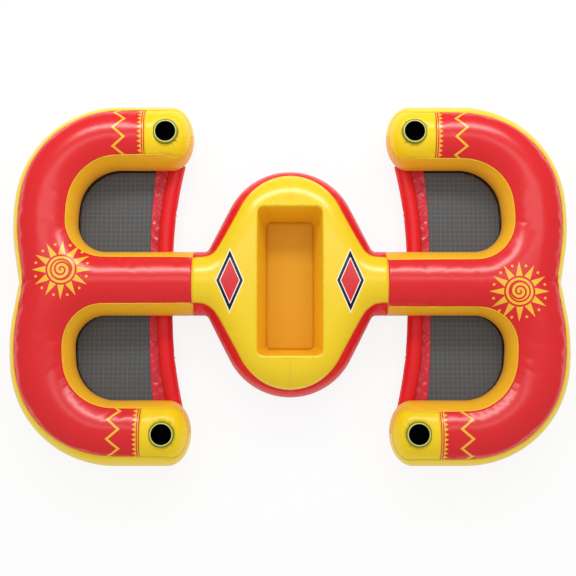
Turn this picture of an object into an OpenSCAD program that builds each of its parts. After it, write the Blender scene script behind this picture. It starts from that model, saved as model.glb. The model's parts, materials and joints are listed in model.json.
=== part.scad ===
// Inflatable four-person floating lounge: two E-shaped seat modules joined to a
// centre module with a drinks well. Millimetres, +Z up. The origin lies on the
// ground, under the middle of the lounge. X runs from one backrest to the other.

/* [Tubes] */
// Radius of the round tube section of the arms, backs and body edge
tube_r = 165; // [150:1:175]
// How far the resting tube flattens on the ground
rest_sag = 1.5; // [1:0.5:3]
// Thickness of the sheet that every panel is cut from, with its coating
skin_t = 2; // [1.5:0.1:3]
// Angle from the top of the tube down to the seam of the top panel
seam_angle = 43; // [38:1:50]

/* [Seat modules] */
// Distance from the middle to the axis of each outer arm
arm_y = 765; // [740:5:800]
// Distance from the middle to the axis of a back tube at its widest
back_x = 1272; // [1240:5:1300]
// Distance from the middle line to the widest place of a back tube
lobe_y = 320; // [300:5:340]
// Radius of the gentle curve along the back tube, at its axis
back_curve_r = 850; // [750:10:950]
// Angle left of the quarter turn where the back curve meets the corner curve
corner_rest_angle = 8; // [4:1:12]
// Angle that the back tube turns past its widest place, towards the middle
notch_angle = 9.5; // [7:0.5:12]
// Distance from the middle to the place where the rounded arm ends begin
tip_x = 621; // [600:1:632]
// Length of the rounded end of an outer arm
tip_len = 118; // [100:1:130]
// Distance from the middle to the seam between red panel and end patch
patch_x = 745; // [730:1:780]
// Distance from the middle to the weld between seat module and centre module
join_x = 495; // [480:1:520]

/* [Centre module] */
// Distance from the middle to the place where the neck begins to widen
neck_x = 445; // [430:1:460]
// Radius of the hollow curve from neck to body, at the edge tube's axis
flare_r = 195; // [185:1:215]
// Angle that the flare turns through
flare_angle = 63; // [60:1:66]
// Distance from the middle to the edge tube's axis at the rounded ends
body_y = 420; // [410:1:430]
// Length of the well's opening
well_len = 755; // [700:1:760]
// Width of the well's opening
well_w = 331; // [300:1:335]
// Radius of the well's corners
well_corner_r = 32; // [25:1:40]
// How far each wall of the well leans in over the full height
well_lean = 52; // [30:1:60]
// Height of the well's floor above the ground
well_floor_z = 80; // [60:1:100]
// Diameter of the air passages through each web
web_hole_d = 70; // [50:1:90]
// Distance between the two air passages of a web
web_hole_apart = 138; // [110:1:150]
// Distance from the edge tube's axis out to the air passages
web_hole_out = 42; // [20:1:60]

/* [Seats] */
// Height of the mesh above the ground
mesh_z = 75; // [65:1:85]
// Thickness of the mesh
mesh_t = 1.5; // [1.2:0.1:3]
// Thickness of the welded strips along the mesh
strip_t = 3; // [2.5:0.1:4]
// Width of the hem that shows past the bulge of the tube
hem_show = 14; // [8:1:24]
// Distance from the middle to the straight front edge of the mesh
mesh_front_x = 734; // [720:1:745]
// Radius of the small front tube of a seat
front_r = 44; // [38:1:48]
// Height of the front tube's axis above the ground
front_z = 74; // [60:1:85]
// Distance from the middle to the front tube's axis beside the centre arm
front_x = 664; // [655:1:670]
// Radius of the front tube's bow, at its axis
front_bow_r = 1900; // [1700:20:2400]

/* [Cup holders] */
// Distance from the middle to the axis of a cup holder
cup_x = 636; // [630:1:650]
// Radius of the bore that holds the cup
cup_r = 50; // [40:0.5:50]
// Depth of the bore
cup_depth = 82; // [70:1:100]
// Thickness of the cup's wall and floor
cup_wall = 2.5; // [2:0.1:3]
// Width of the cup's lip
cup_lip_w = 3.5; // [3:0.1:5]
// Thickness of the cup's lip
cup_lip_t = 4; // [3:0.1:5]
// Width of the welded ring around the cup's lip
ring_w = 7.5; // [6:0.5:9]
// How far the ring stands above the top of the tube
ring_up = 5; // [3:0.5:7]
// How far the ring reaches down below the top of the tube, to meet its round side
ring_down = 22; // [18:1:26]
// Radius of the ring's rounded top edges
ring_edge = 2; // [1:0.25:3]

/* [Valves] */
// Radius of the valve's welded flange
valve_r = 27; // [24:0.5:30]
// Radius of the valve's bore
valve_bore_r = 15; // [12:0.5:17]
// Radius of the valve's neck
valve_neck_r = 19; // [18:0.5:21]
// Depth of the valve's neck below the tube's surface
valve_depth = 22; // [18:1:30]
// Angle from the top of the tube down to the axis of a main valve
valve_angle = 118; // [112:1:125]
// Distance from the notch to the valve of a seat module
valve_y = 120; // [100:1:150]
// Angle round the body's rounded end, from its middle, to the centre module's valve
centre_valve_turn = 25; // [15:1:40]
// Angle from the top of the tube down to the axis of a front tube's valve
front_valve_angle = 128; // [120:1:135]
// Size of a front tube's valve against a main valve
front_valve_scale = 0.6; // [0.5:0.05:0.6]
// Thickness of the valve's cap
cap_t = 4; // [3:0.1:5]
// Height of a valve's flange above the tube's surface
flange_up = 2; // [1.5:0.1:3]
// Radius of the cap's hinge pin
hinge_pin_r = 1.5; // [1.2:0.1:1.8]
// Distance from the flange's rim in to the hinge pin
hinge_inset = 3; // [2:0.5:4]
// Wall around the hinge pin
hinge_wall = 1.6; // [1.2:0.1:2]
// Width of the cap's hinge barrel
barrel_w = 9; // [7:0.5:11]
// Width of each hinge ear
ear_w = 3; // [2.5:0.1:4]
// Depth of the cap's plug in the bore
plug_t = 1.5; // [1:0.1:1.8]

/* [Clearances] */
// Gap between parts that don't bond
gap = 0.3; // [0.2:0.05:0.5]
// Radial gap between hinge pin and cap
hinge_gap = 0.2; // [0.15:0.05:0.3]
// Radial gap around the cap's plug, which swings clear of its bore
plug_gap = 1.2; // [1.1:0.1:1.6]
// Gap where two strips of one panel butt together under their weld
strip_gap = 0.04; // [0.02:0.01:0.1]
// Gap at the edge of a fitting that is welded into the skin
weld_gap = 0.1; // [0.05:0.05:0.2]

/* [Hidden] */
$fn = 96;

// Height of the tube's axis and of its top above the ground
axis_z = tube_r - rest_sag;
top_z = axis_z + tube_r;
seam_z = axis_z + tube_r * cos(seam_angle);
low_seam_z = axis_z - tube_r * cos(seam_angle);
far = 4000;

// Largest angle of one gore of a bend, and the flat strips round each corner of the well
gore_angle = 26;
well_corner_strips = 6;

// Plan of a seat module's axis lines, as centres of its curves (north-west quarter)
back_c = [-back_x + back_curve_r, lobe_y];
corner_r = (arm_y - lobe_y - back_curve_r * sin(corner_rest_angle)) / (1 - sin(corner_rest_angle));
corner_c = back_c + (back_curve_r - corner_r) * [-cos(corner_rest_angle), sin(corner_rest_angle)];
fillet_c = [-back_x + lobe_y, lobe_y];
notch_p = back_c + back_curve_r * [-cos(notch_angle), -sin(notch_angle)];
notch_len = notch_p.y / cos(notch_angle);
notch_end = [notch_p.x + notch_p.y * tan(notch_angle), 0];

// Plan of the centre module's edge axis
side_len = (body_y * sin(flare_angle) - neck_x * (1 - cos(flare_angle)))
    / (pow(sin(flare_angle), 2) - cos(flare_angle) * (1 - cos(flare_angle)));
end_r = (neck_x - side_len * cos(flare_angle)) / sin(flare_angle) - flare_r;
flare_c = [-neck_x, flare_r];
side_p = flare_c + flare_r * [sin(flare_angle), -cos(flare_angle)];
end_c = [0, body_y - end_r];

// Horizontal distance from a tube's axis to its wall at a given height
function reach(z, r = tube_r) = sqrt(r * r - pow(z - axis_z, 2));
hem_out = reach(mesh_z + strip_t / 2) + gap;
hem_in = tube_r + hem_show;

// Cup holder
cup_out_r = cup_r + cup_wall;
lip_r = cup_out_r + cup_lip_w;
ring_r = lip_r + gap + ring_w;
ring_top_z = top_z + ring_up;
ring_low_z = top_z - ring_down;
lip_z = ring_top_z - ring_edge - cup_lip_t;
cup_floor_z = lip_z + cup_lip_t - cup_depth;

// Well: how far its walls have leaned in at a given height
function lean_at(z) = well_lean * (1 - z / top_z);

// Front tube: centre of its bow, and the angles round the bow at its two ends and its valve
bow_c = [-front_x + front_bow_r, tube_r];
function bow_angle(y) = asin((y - bow_c.y) / front_bow_r);
front_tuck = reach(front_z - front_r / 2);
front_start_a = bow_angle(front_tuck);
front_end_a = bow_angle(arm_y - front_tuck);
valve_a = bow_angle(arm_y / 2);

// ---------- helpers ----------

// A slice of a disc around the origin, from angle a0 to a1
module wedge(a0, a1, r = far) {
    m = (a0 + a1) / 2;
    polygon([[0, 0], r * [cos(a0), sin(a0)], 1.3 * r * [cos(m), sin(m)], r * [cos(a1), sin(a1)]]);
}

// A sector of a disc in plan
module sector(c, r, a0, a1) {
    translate(c) intersection() {
        circle(r, $fn = 180);
        wedge(a0, a1, 2 * r);
    }
}

// The tube's section: a ring of skin, flat where it rests. X points out of the tube's side.
module skin_ring(r = tube_r) {
    difference() {
        intersection() {
            circle(r);
            translate([-far / 2, -axis_z]) square([far, far]);
        }
        intersection() {
            circle(r - skin_t);
            translate([-far / 2, skin_t - axis_z]) square([far, far]);
        }
    }
}

// The part of the ring between two angles from the top; positive angles lie on the +X side
module skin(a0, a1) {
    intersection() {
        skin_ring();
        wedge(90 - a1, 90 - a0, 3 * tube_r);
    }
}

// Sweeps a section along a straight line from p in direction a; X of the section points left
module run(p, a, len) {
    translate([p.x, p.y, axis_z]) rotate(a) translate([strip_gap / 2, 0, 0]) rotate([90, 0, 90])
        linear_extrude(len - strip_gap) children();
}

// Sweeps a section round c at radius r, from angle a0 to a1, as equal gores, each no wider
// than `widest`; X of the
// section points outward
module bend(c, r, a0, a1, widest = gore_angle) {
    cut = asin(strip_gap / 2 / r);
    gores = ceil((a1 - a0) / widest);
    gore_a = (a1 - a0) / gores;
    for (i = [0 : gores - 1]) translate([c.x, c.y, axis_z]) rotate(a0 + i * gore_a + cut)
        rotate_extrude(angle = gore_a - 2 * cut, $fn = 240) translate([r, 0]) children();
}

// Copies to the other side of the middle line
module both_sides() {
    children();
    mirror([0, 1, 0]) children();
}

// Puts what is drawn for the north-west quarter into another quarter
module quarter(q) {
    mirror([q[1] == "e" ? 1 : 0, 0, 0]) mirror([0, q[0] == "s" ? 1 : 0, 0]) children();
}

// Puts what is drawn for the west module on the east side
module side(s) {
    rotate(s == "east" ? 180 : 0) children();
}

// Everything on the north side of the middle line
module north_half() {
    translate([-far, strip_gap / 2, -far / 2]) cube([2 * far, far, far]);
}

// ---------- seat module ----------

// Sweeps a section along an outer arm, round the corner and down the back to its widest place
module back_sweep(from_x) {
    run([corner_c.x, arm_y], 0, -corner_c.x - from_x) children();
    bend(corner_c, corner_r, 90, 180 - corner_rest_angle) children();
    bend(back_c, back_curve_r, 180 - corner_rest_angle, 180) children();
}

// Sweeps an outer-side section from the back's widest place to the notch
module notch_sweep() {
    bend(back_c, back_curve_r, 180, 180 + notch_angle) children();
    intersection() {
        run(notch_end, 90 + notch_angle, notch_len) children();
        north_half();
    }
}

// Sweeps a seat-side section from the back's widest place round to the centre arm
module fillet_sweep() {
    bend(fillet_c, lobe_y, 180, 270) children();
}

// Sweeps a section along the centre arm; X of the section points north
module centre_sweep() {
    run([fillet_c.x, 0], 0, -fillet_c.x - join_x) children();
}

// Plan of the flat middle between the back tube's axis and a fillet, as gores of the fillet
module junction_plan() {
    cut = asin(strip_gap / 2 / lobe_y);
    gores = ceil(90 / gore_angle);
    for (i = [0 : gores - 1]) intersection() {
        junction_outline();
        translate(fillet_c) wedge(180 + 90 * i / gores + cut, 180 + 90 * (i + 1) / gores - cut);
    }
}

module junction_outline() {
    difference() {
        union() {
            polygon([
                notch_p + [strip_gap, 0], notch_end + [strip_gap, 0],
                [fillet_c.x - strip_gap, 0], [fillet_c.x - strip_gap, notch_p.y]
            ]);
            intersection() {
                translate(back_c) circle(back_curve_r - strip_gap, $fn = 240);
                translate([-back_x, notch_p.y])
                    square([lobe_y - strip_gap, lobe_y - notch_p.y - strip_gap]);
            }
        }
        translate(fillet_c) circle(lobe_y + strip_gap, $fn = 180);
    }
}

// The rounded end of an arm, between two heights, on one side of the arm's axis or both
module arm_end(z0, z1, y0 = -tube_r, y1 = tube_r) {
    translate([-tip_x, arm_y, 0]) intersection() {
        difference() {
            end_form(tube_r, tip_len, 0);
            end_form(tube_r - skin_t, tip_len - skin_t, skin_t);
        }
        translate([strip_gap / 2, y0, z0]) cube([tip_len, y1 - y0, z1 - z0]);
    }
}

// Solid of an arm end with the given radius and length, flat below height z
module end_form(r, len, z) {
    intersection() {
        translate([0, 0, axis_z]) scale([len / r, 1, 1]) sphere(r);
        translate([-far / 2, -far / 2, z]) cube([far, far, far]);
    }
}

module top_panel() {
    both_sides() {
        back_sweep(patch_x) skin(-seam_angle, seam_angle);
        notch_sweep() skin(0, seam_angle);
        fillet_sweep() skin(-seam_angle, 0);
    }
    centre_sweep() skin(-seam_angle, seam_angle);
    translate([0, 0, top_z - skin_t]) linear_extrude(skin_t) both_sides() junction_plan();
}

module bottom_panel() {
    both_sides() {
        back_sweep(tip_x) skin(180 - seam_angle, 180 + seam_angle);
        notch_sweep() skin(180 - seam_angle, 180);
        fillet_sweep() skin(180, 180 + seam_angle);
        arm_end(0, low_seam_z);
    }
    centre_sweep() skin(180 - seam_angle, 180 + seam_angle);
    linear_extrude(skin_t) both_sides() junction_plan();
}

module outer_wall() {
    difference() {
        both_sides() {
            back_sweep(tip_x) skin(seam_angle, 180 - seam_angle);
            notch_sweep() skin(seam_angle, 180 - seam_angle);
            arm_end(low_seam_z, seam_z, y0 = 0);
        }
        at_back_valve() valve_cut(1);
    }
}

module seat_wall() {
    back_sweep(tip_x) skin(seam_angle - 180, -seam_angle);
    fillet_sweep() skin(seam_angle - 180, -seam_angle);
    centre_sweep() skin(seam_angle, 180 - seam_angle);
    arm_end(low_seam_z, seam_z, y1 = 0);
}

// The patch that ends an arm's top panel, with the hole for the cup holder's ring
module end_patch() {
    difference() {
        union() {
            run([-patch_x, arm_y], 0, patch_x - tip_x) skin(-seam_angle, seam_angle);
            arm_end(seam_z, top_z);
        }
        translate([-cup_x, arm_y, axis_z]) cylinder(r = ring_r + weld_gap, h = far);
    }
}

// The disc that parts the seat module's air from the centre module's
module bulkhead() {
    run([-join_x - skin_t / 2, 0], 0, skin_t) intersection() {
        circle(tube_r - skin_t);
        translate([-far / 2, skin_t - axis_z]) square([far, far]);
    }
}

// ---------- centre module ----------

// Sweeps a section along both necks; X of the section points north
module neck_sweep() {
    for (x = [-join_x, neck_x]) run([x, 0], 0, join_x - neck_x) children();
}

// Sweeps an outer-side section along the north edge of the body, between the necks
module edge_sweep() {
    for (m = [0, 1]) mirror([m, 0, 0]) {
        bend(flare_c, flare_r, 270, 270 + flare_angle) mirror([1, 0]) children();
        run(side_p, flare_angle, side_len) children();
    }
    bend(end_c, end_r, 90 - flare_angle, 90 + flare_angle, gore_angle / 2) children();
}

// Plan of the north half of the body inside its edge axis, butted at the middle line
module body_plan() {
    side_end = side_p + side_len * [cos(flare_angle), sin(flare_angle)];
    inset = 2 * strip_gap * [sin(flare_angle), -cos(flare_angle)];
    difference() {
        union() {
            polygon([
                [-neck_x, strip_gap / 2], side_p + inset, side_end + inset,
                [-side_end.x - inset.x, side_end.y + inset.y],
                [-side_p.x - inset.x, side_p.y + inset.y], [neck_x, strip_gap / 2]
            ]);
            translate(end_c) circle(end_r - strip_gap, $fn = 180);
        }
        for (m = [-1, 1]) translate([m * flare_c.x, flare_c.y])
            circle(flare_r + strip_gap, $fn = 180);
    }
}

// Parts the plan of a plate beside and beyond the well, at the diagonals of the well's corners;
// the well's plan is grown by a margin
module part_at_well(margin) {
    c = [well_w / 2 + margin - well_corner_r, well_len / 2 + margin - well_corner_r];
    for (m = [0, 1]) mirror([m, 0]) intersection() {
        children();
        polygon([[c.x + strip_gap, 0], c + [strip_gap, 0], c + far * [1, 1], [c.x + far, 0]]);
    }
    intersection() {
        children();
        polygon([[-c.x, c.y], c, c + far * [1, 1], [-c.x - far, c.y + far]]);
    }
}

// Plan of the well, grown by a margin
module well_plan(margin) {
    r = well_corner_r;
    w = well_w / 2 + margin - r;
    l = well_len / 2 + margin - r;
    square([2 * (w + r), 2 * l], center = true);
    square([2 * w, 2 * (l + r)], center = true);
    for (x = [-w, w], y = [-l, l]) translate([x, y]) circle(r);
}

module body_top() {
    margin = skin_t + weld_gap;
    neck_sweep() skin(-seam_angle, seam_angle);
    difference() {
        union() {
            both_sides() edge_sweep() skin(0, seam_angle);
            translate([0, 0, top_z - skin_t]) linear_extrude(skin_t)
                both_sides() part_at_well(margin) body_plan();
        }
        linear_extrude(far) well_plan(margin);
    }
}

module body_bottom() {
    margin = skin_t + weld_gap - lean_at(skin_t);
    neck_sweep() skin(180 - seam_angle, 180 + seam_angle);
    both_sides() edge_sweep() skin(180 - seam_angle, 180);
    linear_extrude(skin_t) difference() {
        both_sides() part_at_well(margin) body_plan();
        well_plan(margin);
    }
}

module body_wall() {
    neck_sweep() skin(seam_angle, 180 - seam_angle);
    edge_sweep() skin(seam_angle, 180 - seam_angle);
}

// Leaning walls of the well, as flat strips between stations round its outline
module well_wall() {
    stations = [for (q = [0 : 3], k = [0 : well_corner_strips]) [q, 90 * (q + k / well_corner_strips)]];
    color("#e8a828") for (i = [0 : len(stations) - 1])
        well_strip(stations[i], stations[(i + 1) % len(stations)]);
}

module well_strip(s, t) {
    slice = 0.01;
    hull() for (z = [0, top_z - slice]) translate([0, 0, z]) linear_extrude(slice) polygon([
        toward(well_point(s, z, 0), well_point(t, z, 0)),
        toward(well_point(s, z, skin_t), well_point(t, z, skin_t)),
        toward(well_point(t, z, skin_t), well_point(s, z, skin_t)),
        toward(well_point(t, z, 0), well_point(s, z, 0))
    ]);
}

// Point on the well's outline at station [quadrant, angle], at height z, grown by a margin
function well_point(s, z, margin) =
    [
        (s[0] == 0 || s[0] == 3 ? 1 : -1) * (well_w / 2 - well_corner_r - lean_at(z)),
        (s[0] < 2 ? 1 : -1) * (well_len / 2 - well_corner_r - lean_at(z))
    ] + (well_corner_r + margin) * [cos(s[1]), sin(s[1])];

// Point p, moved half a strip gap towards point q
function toward(p, q) = p + strip_gap / 2 * (q - p) / norm(q - p);

module well_floor() {
    color("#e09a28") translate([0, 0, well_floor_z - skin_t]) linear_extrude(skin_t)
        well_plan(-lean_at(well_floor_z - skin_t) - gap);
}

// Upright web from the well's end wall to the body's edge, with air passages
module web() {
    low_y = well_len / 2 + skin_t + gap - lean_at(skin_t);
    high_y = well_len / 2 + skin_t + gap - lean_at(top_z - skin_t);
    translate([-skin_t / 2, 0, 0]) rotate([90, 0, 90]) linear_extrude(skin_t) difference() {
        union() {
            polygon([
                [low_y, skin_t], [body_y, skin_t], [body_y, top_z - skin_t], [high_y, top_z - skin_t]
            ]);
            intersection() {
                translate([body_y, axis_z]) circle(tube_r - skin_t);
                translate([body_y, skin_t]) square([tube_r, far]);
            }
        }
        for (z = [-1, 1]) translate([body_y + web_hole_out, axis_z + z * web_hole_apart / 2])
            circle(d = web_hole_d);
    }
}

// ---------- seats ----------

// Plan of a seat inside its tubes' axes, less a margin, as far as its front edge
module seat_plan(margin, front) {
    split_y = corner_c.y
        + (-front - corner_c.x) * (back_c.y - corner_c.y) / (back_c.x - corner_c.x);
    sector(corner_c, corner_r - margin, 90, 180 - corner_rest_angle);
    sector(fillet_c, lobe_y - margin, 180, 270);
    intersection() {
        sector(back_c, back_curve_r - margin, 180 - corner_rest_angle, 180);
        translate([-far, 0]) square([far - front, far]);
    }
    polygon([
        corner_c, [corner_c.x, arm_y - margin], [-front, arm_y - margin], [-front, split_y]
    ]);
    polygon([fillet_c, [fillet_c.x, margin], [-front, margin], [-front, lobe_y]]);
}

module mesh_seat() {
    translate([0, 0, mesh_z - mesh_t / 2]) linear_extrude(mesh_t)
        seat_plan(hem_in, mesh_front_x);
}

module seat_hem() {
    translate([0, 0, mesh_z - strip_t / 2]) linear_extrude(strip_t) difference() {
        seat_plan(hem_out, mesh_front_x);
        seat_plan(hem_in, mesh_front_x - tube_r / 2);
    }
}

// Strip between the mesh and the front tube
module front_flange() {
    translate([0, 0, mesh_z - strip_t / 2]) linear_extrude(strip_t) difference() {
        translate([-mesh_front_x, hem_out]) square([mesh_front_x - tip_x, arm_y - 2 * hem_out]);
        translate(bow_c) circle(front_bow_r + front_r + gap, $fn = 720);
    }
}

// The front tube's solid at the given radius, its ends shaped to the arms with a clearance
module front_form(r, clear, inset_a = 0) {
    difference() {
        translate([bow_c.x, bow_c.y, front_z]) rotate(180 - front_end_a + inset_a)
            rotate_extrude(angle = front_end_a - front_start_a - 2 * inset_a, $fn = 720)
                translate([front_bow_r, 0]) circle(r);
        for (y = [0, arm_y]) translate([0, y, axis_z]) rotate([0, -90, 0])
            translate([0, 0, tip_x]) cylinder(r = tube_r + clear, h = far / 4);
        translate([-tip_x, 0, axis_z]) rotate([0, 90, 0])
            cylinder(r = tube_r + clear, h = far / 4);
        translate([-tip_x, arm_y, axis_z]) scale([(tip_len + clear) / (tube_r + clear), 1, 1])
            sphere(tube_r + clear);
    }
}

module front_tube() {
    difference() {
        front_form(front_r, gap);
        front_form(front_r - skin_t, gap + skin_t, asin(skin_t / front_bow_r));
        at_front_valve() valve_cut(front_valve_scale);
    }
}

// ---------- cup holders ----------

module cup() {
    translate([-cup_x, arm_y, 0]) difference() {
        union() {
            translate([0, 0, cup_floor_z - cup_wall])
                cylinder(r = cup_out_r, h = lip_z + cup_lip_t - cup_floor_z + cup_wall);
            translate([0, 0, lip_z]) cylinder(r = lip_r, h = cup_lip_t);
        }
        translate([0, 0, cup_floor_z]) cylinder(r = cup_r, h = far);
    }
}

// Welded ring with rounded top edges and a seat for the cup's lip
module cup_ring() {
    in_r = lip_r + gap;
    translate([-cup_x, arm_y, 0]) rotate_extrude() {
        translate([in_r, ring_low_z]) square([ring_w, ring_top_z - ring_edge - ring_low_z]);
        translate([in_r + ring_edge, ring_low_z])
            square([ring_w - 2 * ring_edge, ring_top_z - ring_low_z]);
        for (r = [in_r + ring_edge, ring_r - ring_edge])
            translate([r, ring_top_z - ring_edge]) circle(ring_edge, $fn = 48);
        translate([cup_out_r + gap, ring_low_z])
            square([in_r - cup_out_r - gap, lip_z - ring_low_z]);
    }
}

// ---------- valves ----------

// Puts a valve, drawn along Z from the tube's surface, on a tube of radius r with its axis
// through p at height z, in direction a in plan and tilt from the top
module on_tube(p, z, r, a, tilt) {
    translate([p.x, p.y, z]) rotate([0, tilt, a]) translate([0, 0, r]) children();
}

module at_back_valve() {
    p = notch_end + (valve_y / cos(notch_angle)) * [-sin(notch_angle), -cos(notch_angle)];
    on_tube(p, axis_z, tube_r, 180 - notch_angle, valve_angle) children();
}

module at_centre_valve() {
    a = centre_valve_turn - 90;
    on_tube(-end_c + end_r * [cos(a), sin(a)], axis_z, tube_r, a, valve_angle) children();
}

module at_front_valve() {
    p = bow_c + front_bow_r * [-cos(valve_a), sin(valve_a)];
    on_tube(p, front_z, front_r, -valve_a, front_valve_angle) children();
}

// Clears the skin for a valve's flange
module valve_cut(s) {
    cylinder(r = valve_r * s + weld_gap, h = tube_r / 4, center = true);
}

// Hinge position in the valve's own frame
function barrel_r(s) = hinge_pin_r * s + hinge_gap + hinge_wall * s;
function hinge_x(s) = -(valve_r - hinge_inset) * s;
function hinge_z(s) = flange_up + gap + barrel_r(s);

// A valve of scale s for a tube of radius r: flange, neck and the ears with the hinge pin
module valve(s, r) {
    low = -(r - sqrt(r * r - pow(valve_r * s, 2))) - skin_t;
    ear_y = (barrel_w / 2) * s + gap;
    difference() {
        union() {
            translate([0, 0, low]) cylinder(r = valve_r * s, h = flange_up - low);
            translate([0, 0, -valve_depth * s]) cylinder(r = valve_neck_r * s, h = valve_depth * s);
        }
        translate([0, 0, -valve_depth * s - 1]) cylinder(r = valve_bore_r * s, h = far);
    }
    for (m = [0, 1]) mirror([0, m, 0]) translate([hinge_x(s), ear_y, 0]) {
        translate([-barrel_r(s), 0, flange_up]) cube([2 * barrel_r(s), ear_w * s, hinge_z(s) - flange_up]);
        translate([0, 0, hinge_z(s)]) rotate([-90, 0, 0]) cylinder(r = barrel_r(s), h = ear_w * s);
    }
    translate([hinge_x(s), -ear_y - ear_w * s / 2, hinge_z(s)]) rotate([-90, 0, 0])
        cylinder(r = hinge_pin_r * s, h = 2 * ear_y + ear_w * s);
}

// The cap: lid, plug, and the hinge barrel on its arm
module valve_cap(s) {
    lid_z = flange_up + gap;
    plug_r = valve_bore_r * s - plug_gap;
    difference() {
        union() {
            translate([0, 0, lid_z]) cylinder(r = valve_neck_r * s, h = cap_t * s);
            translate([0, 0, flange_up - plug_t]) cylinder(r = plug_r, h = plug_t + gap + cap_t * s / 2);
            translate([hinge_x(s), -barrel_w * s / 2, lid_z])
                cube([-hinge_x(s), barrel_w * s, cap_t * s / 2]);
            translate([hinge_x(s), -barrel_w * s / 2, hinge_z(s)]) rotate([-90, 0, 0])
                cylinder(r = barrel_r(s), h = barrel_w * s);
        }
        translate([hinge_x(s), -barrel_w * s, hinge_z(s)]) rotate([-90, 0, 0])
            cylinder(r = hinge_pin_r * s + hinge_gap, h = 2 * barrel_w * s);
    }
}

// ---------- nodes ----------

module west_top_panel() {
    color("#e31e26") side("west") top_panel();
}

module west_bottom_panel() {
    color("#e31e26") side("west") bottom_panel();
}

module west_outer_wall() {
    color("#fbd518") side("west") outer_wall();
}

module west_bulkhead() {
    color("#fbd518") side("west") bulkhead();
}

module east_top_panel() {
    color("#e31e26") side("east") top_panel();
}

module east_bottom_panel() {
    color("#e31e26") side("east") bottom_panel();
}

module east_outer_wall() {
    color("#fbd518") side("east") outer_wall();
}

module east_bulkhead() {
    color("#fbd518") side("east") bulkhead();
}

module nw_seat_wall() {
    color("#e8b41c") quarter("nw") seat_wall();
}

module nw_end_patch() {
    color("#fbd518") quarter("nw") end_patch();
}

module sw_seat_wall() {
    color("#e8b41c") quarter("sw") seat_wall();
}

module sw_end_patch() {
    color("#fbd518") quarter("sw") end_patch();
}

module ne_seat_wall() {
    color("#e8b41c") quarter("ne") seat_wall();
}

module ne_end_patch() {
    color("#fbd518") quarter("ne") end_patch();
}

module se_seat_wall() {
    color("#e8b41c") quarter("se") seat_wall();
}

module se_end_patch() {
    color("#fbd518") quarter("se") end_patch();
}

module centre_top_panel() {
    color("#fbd518") body_top();
}

module centre_bottom_panel() {
    color("#e31e26") body_bottom();
}

module centre_north_wall() {
    color("#e31e26") body_wall();
}

module centre_south_wall() {
    color("#e31e26") difference() {
        mirror([0, 1, 0]) body_wall();
        at_centre_valve() valve_cut(1);
    }
}

module north_web() {
    color("#f0c050") web();
}

module south_web() {
    color("#f0c050") mirror([0, 1, 0]) web();
}

module nw_cup() {
    color("#101012") quarter("nw") cup();
}

module nw_cup_ring() {
    color("#d6dc7a") quarter("nw") cup_ring();
}

module nw_mesh_seat() {
    color("#5f6262") quarter("nw") mesh_seat();
}

module nw_seat_hem() {
    color("#2a1416") quarter("nw") seat_hem();
}

module nw_front_tube() {
    color("#e31e26") quarter("nw") front_tube();
}

module nw_front_flange() {
    color("#e8506a") quarter("nw") front_flange();
}

module sw_cup() {
    color("#101012") quarter("sw") cup();
}

module sw_cup_ring() {
    color("#d6dc7a") quarter("sw") cup_ring();
}

module sw_mesh_seat() {
    color("#5f6262") quarter("sw") mesh_seat();
}

module sw_seat_hem() {
    color("#2a1416") quarter("sw") seat_hem();
}

module sw_front_tube() {
    color("#e31e26") quarter("sw") front_tube();
}

module sw_front_flange() {
    color("#e8506a") quarter("sw") front_flange();
}

module ne_cup() {
    color("#101012") quarter("ne") cup();
}

module ne_cup_ring() {
    color("#d6dc7a") quarter("ne") cup_ring();
}

module ne_mesh_seat() {
    color("#5f6262") quarter("ne") mesh_seat();
}

module ne_seat_hem() {
    color("#2a1416") quarter("ne") seat_hem();
}

module ne_front_tube() {
    color("#e31e26") quarter("ne") front_tube();
}

module ne_front_flange() {
    color("#e8506a") quarter("ne") front_flange();
}

module se_cup() {
    color("#101012") quarter("se") cup();
}

module se_cup_ring() {
    color("#d6dc7a") quarter("se") cup_ring();
}

module se_mesh_seat() {
    color("#5f6262") quarter("se") mesh_seat();
}

module se_seat_hem() {
    color("#2a1416") quarter("se") seat_hem();
}

module se_front_tube() {
    color("#e31e26") quarter("se") front_tube();
}

module se_front_flange() {
    color("#e8506a") quarter("se") front_flange();
}

module west_valve() {
    color("#d8d8d4") at_back_valve() valve(1, tube_r);
}

module east_valve() {
    color("#d8d8d4") side("east") at_back_valve() valve(1, tube_r);
}

module centre_valve() {
    color("#d8d8d4") at_centre_valve() valve(1, tube_r);
}

module front_tube_valves() {
    color("#d8d8d4") for (q = ["nw", "sw", "ne", "se"])
        quarter(q) at_front_valve() valve(front_valve_scale, front_r);
}

module west_valve_cap() {
    color("#d8d8d4") at_back_valve() valve_cap(1);
}

module east_valve_cap() {
    color("#d8d8d4") side("east") at_back_valve() valve_cap(1);
}

module centre_valve_cap() {
    color("#d8d8d4") at_centre_valve() valve_cap(1);
}

module nw_front_cap() {
    color("#d8d8d4") quarter("nw") at_front_valve() valve_cap(front_valve_scale);
}

module sw_front_cap() {
    color("#d8d8d4") quarter("sw") at_front_valve() valve_cap(front_valve_scale);
}

module ne_front_cap() {
    color("#d8d8d4") quarter("ne") at_front_valve() valve_cap(front_valve_scale);
}

module se_front_cap() {
    color("#d8d8d4") quarter("se") at_front_valve() valve_cap(front_valve_scale);
}

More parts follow.
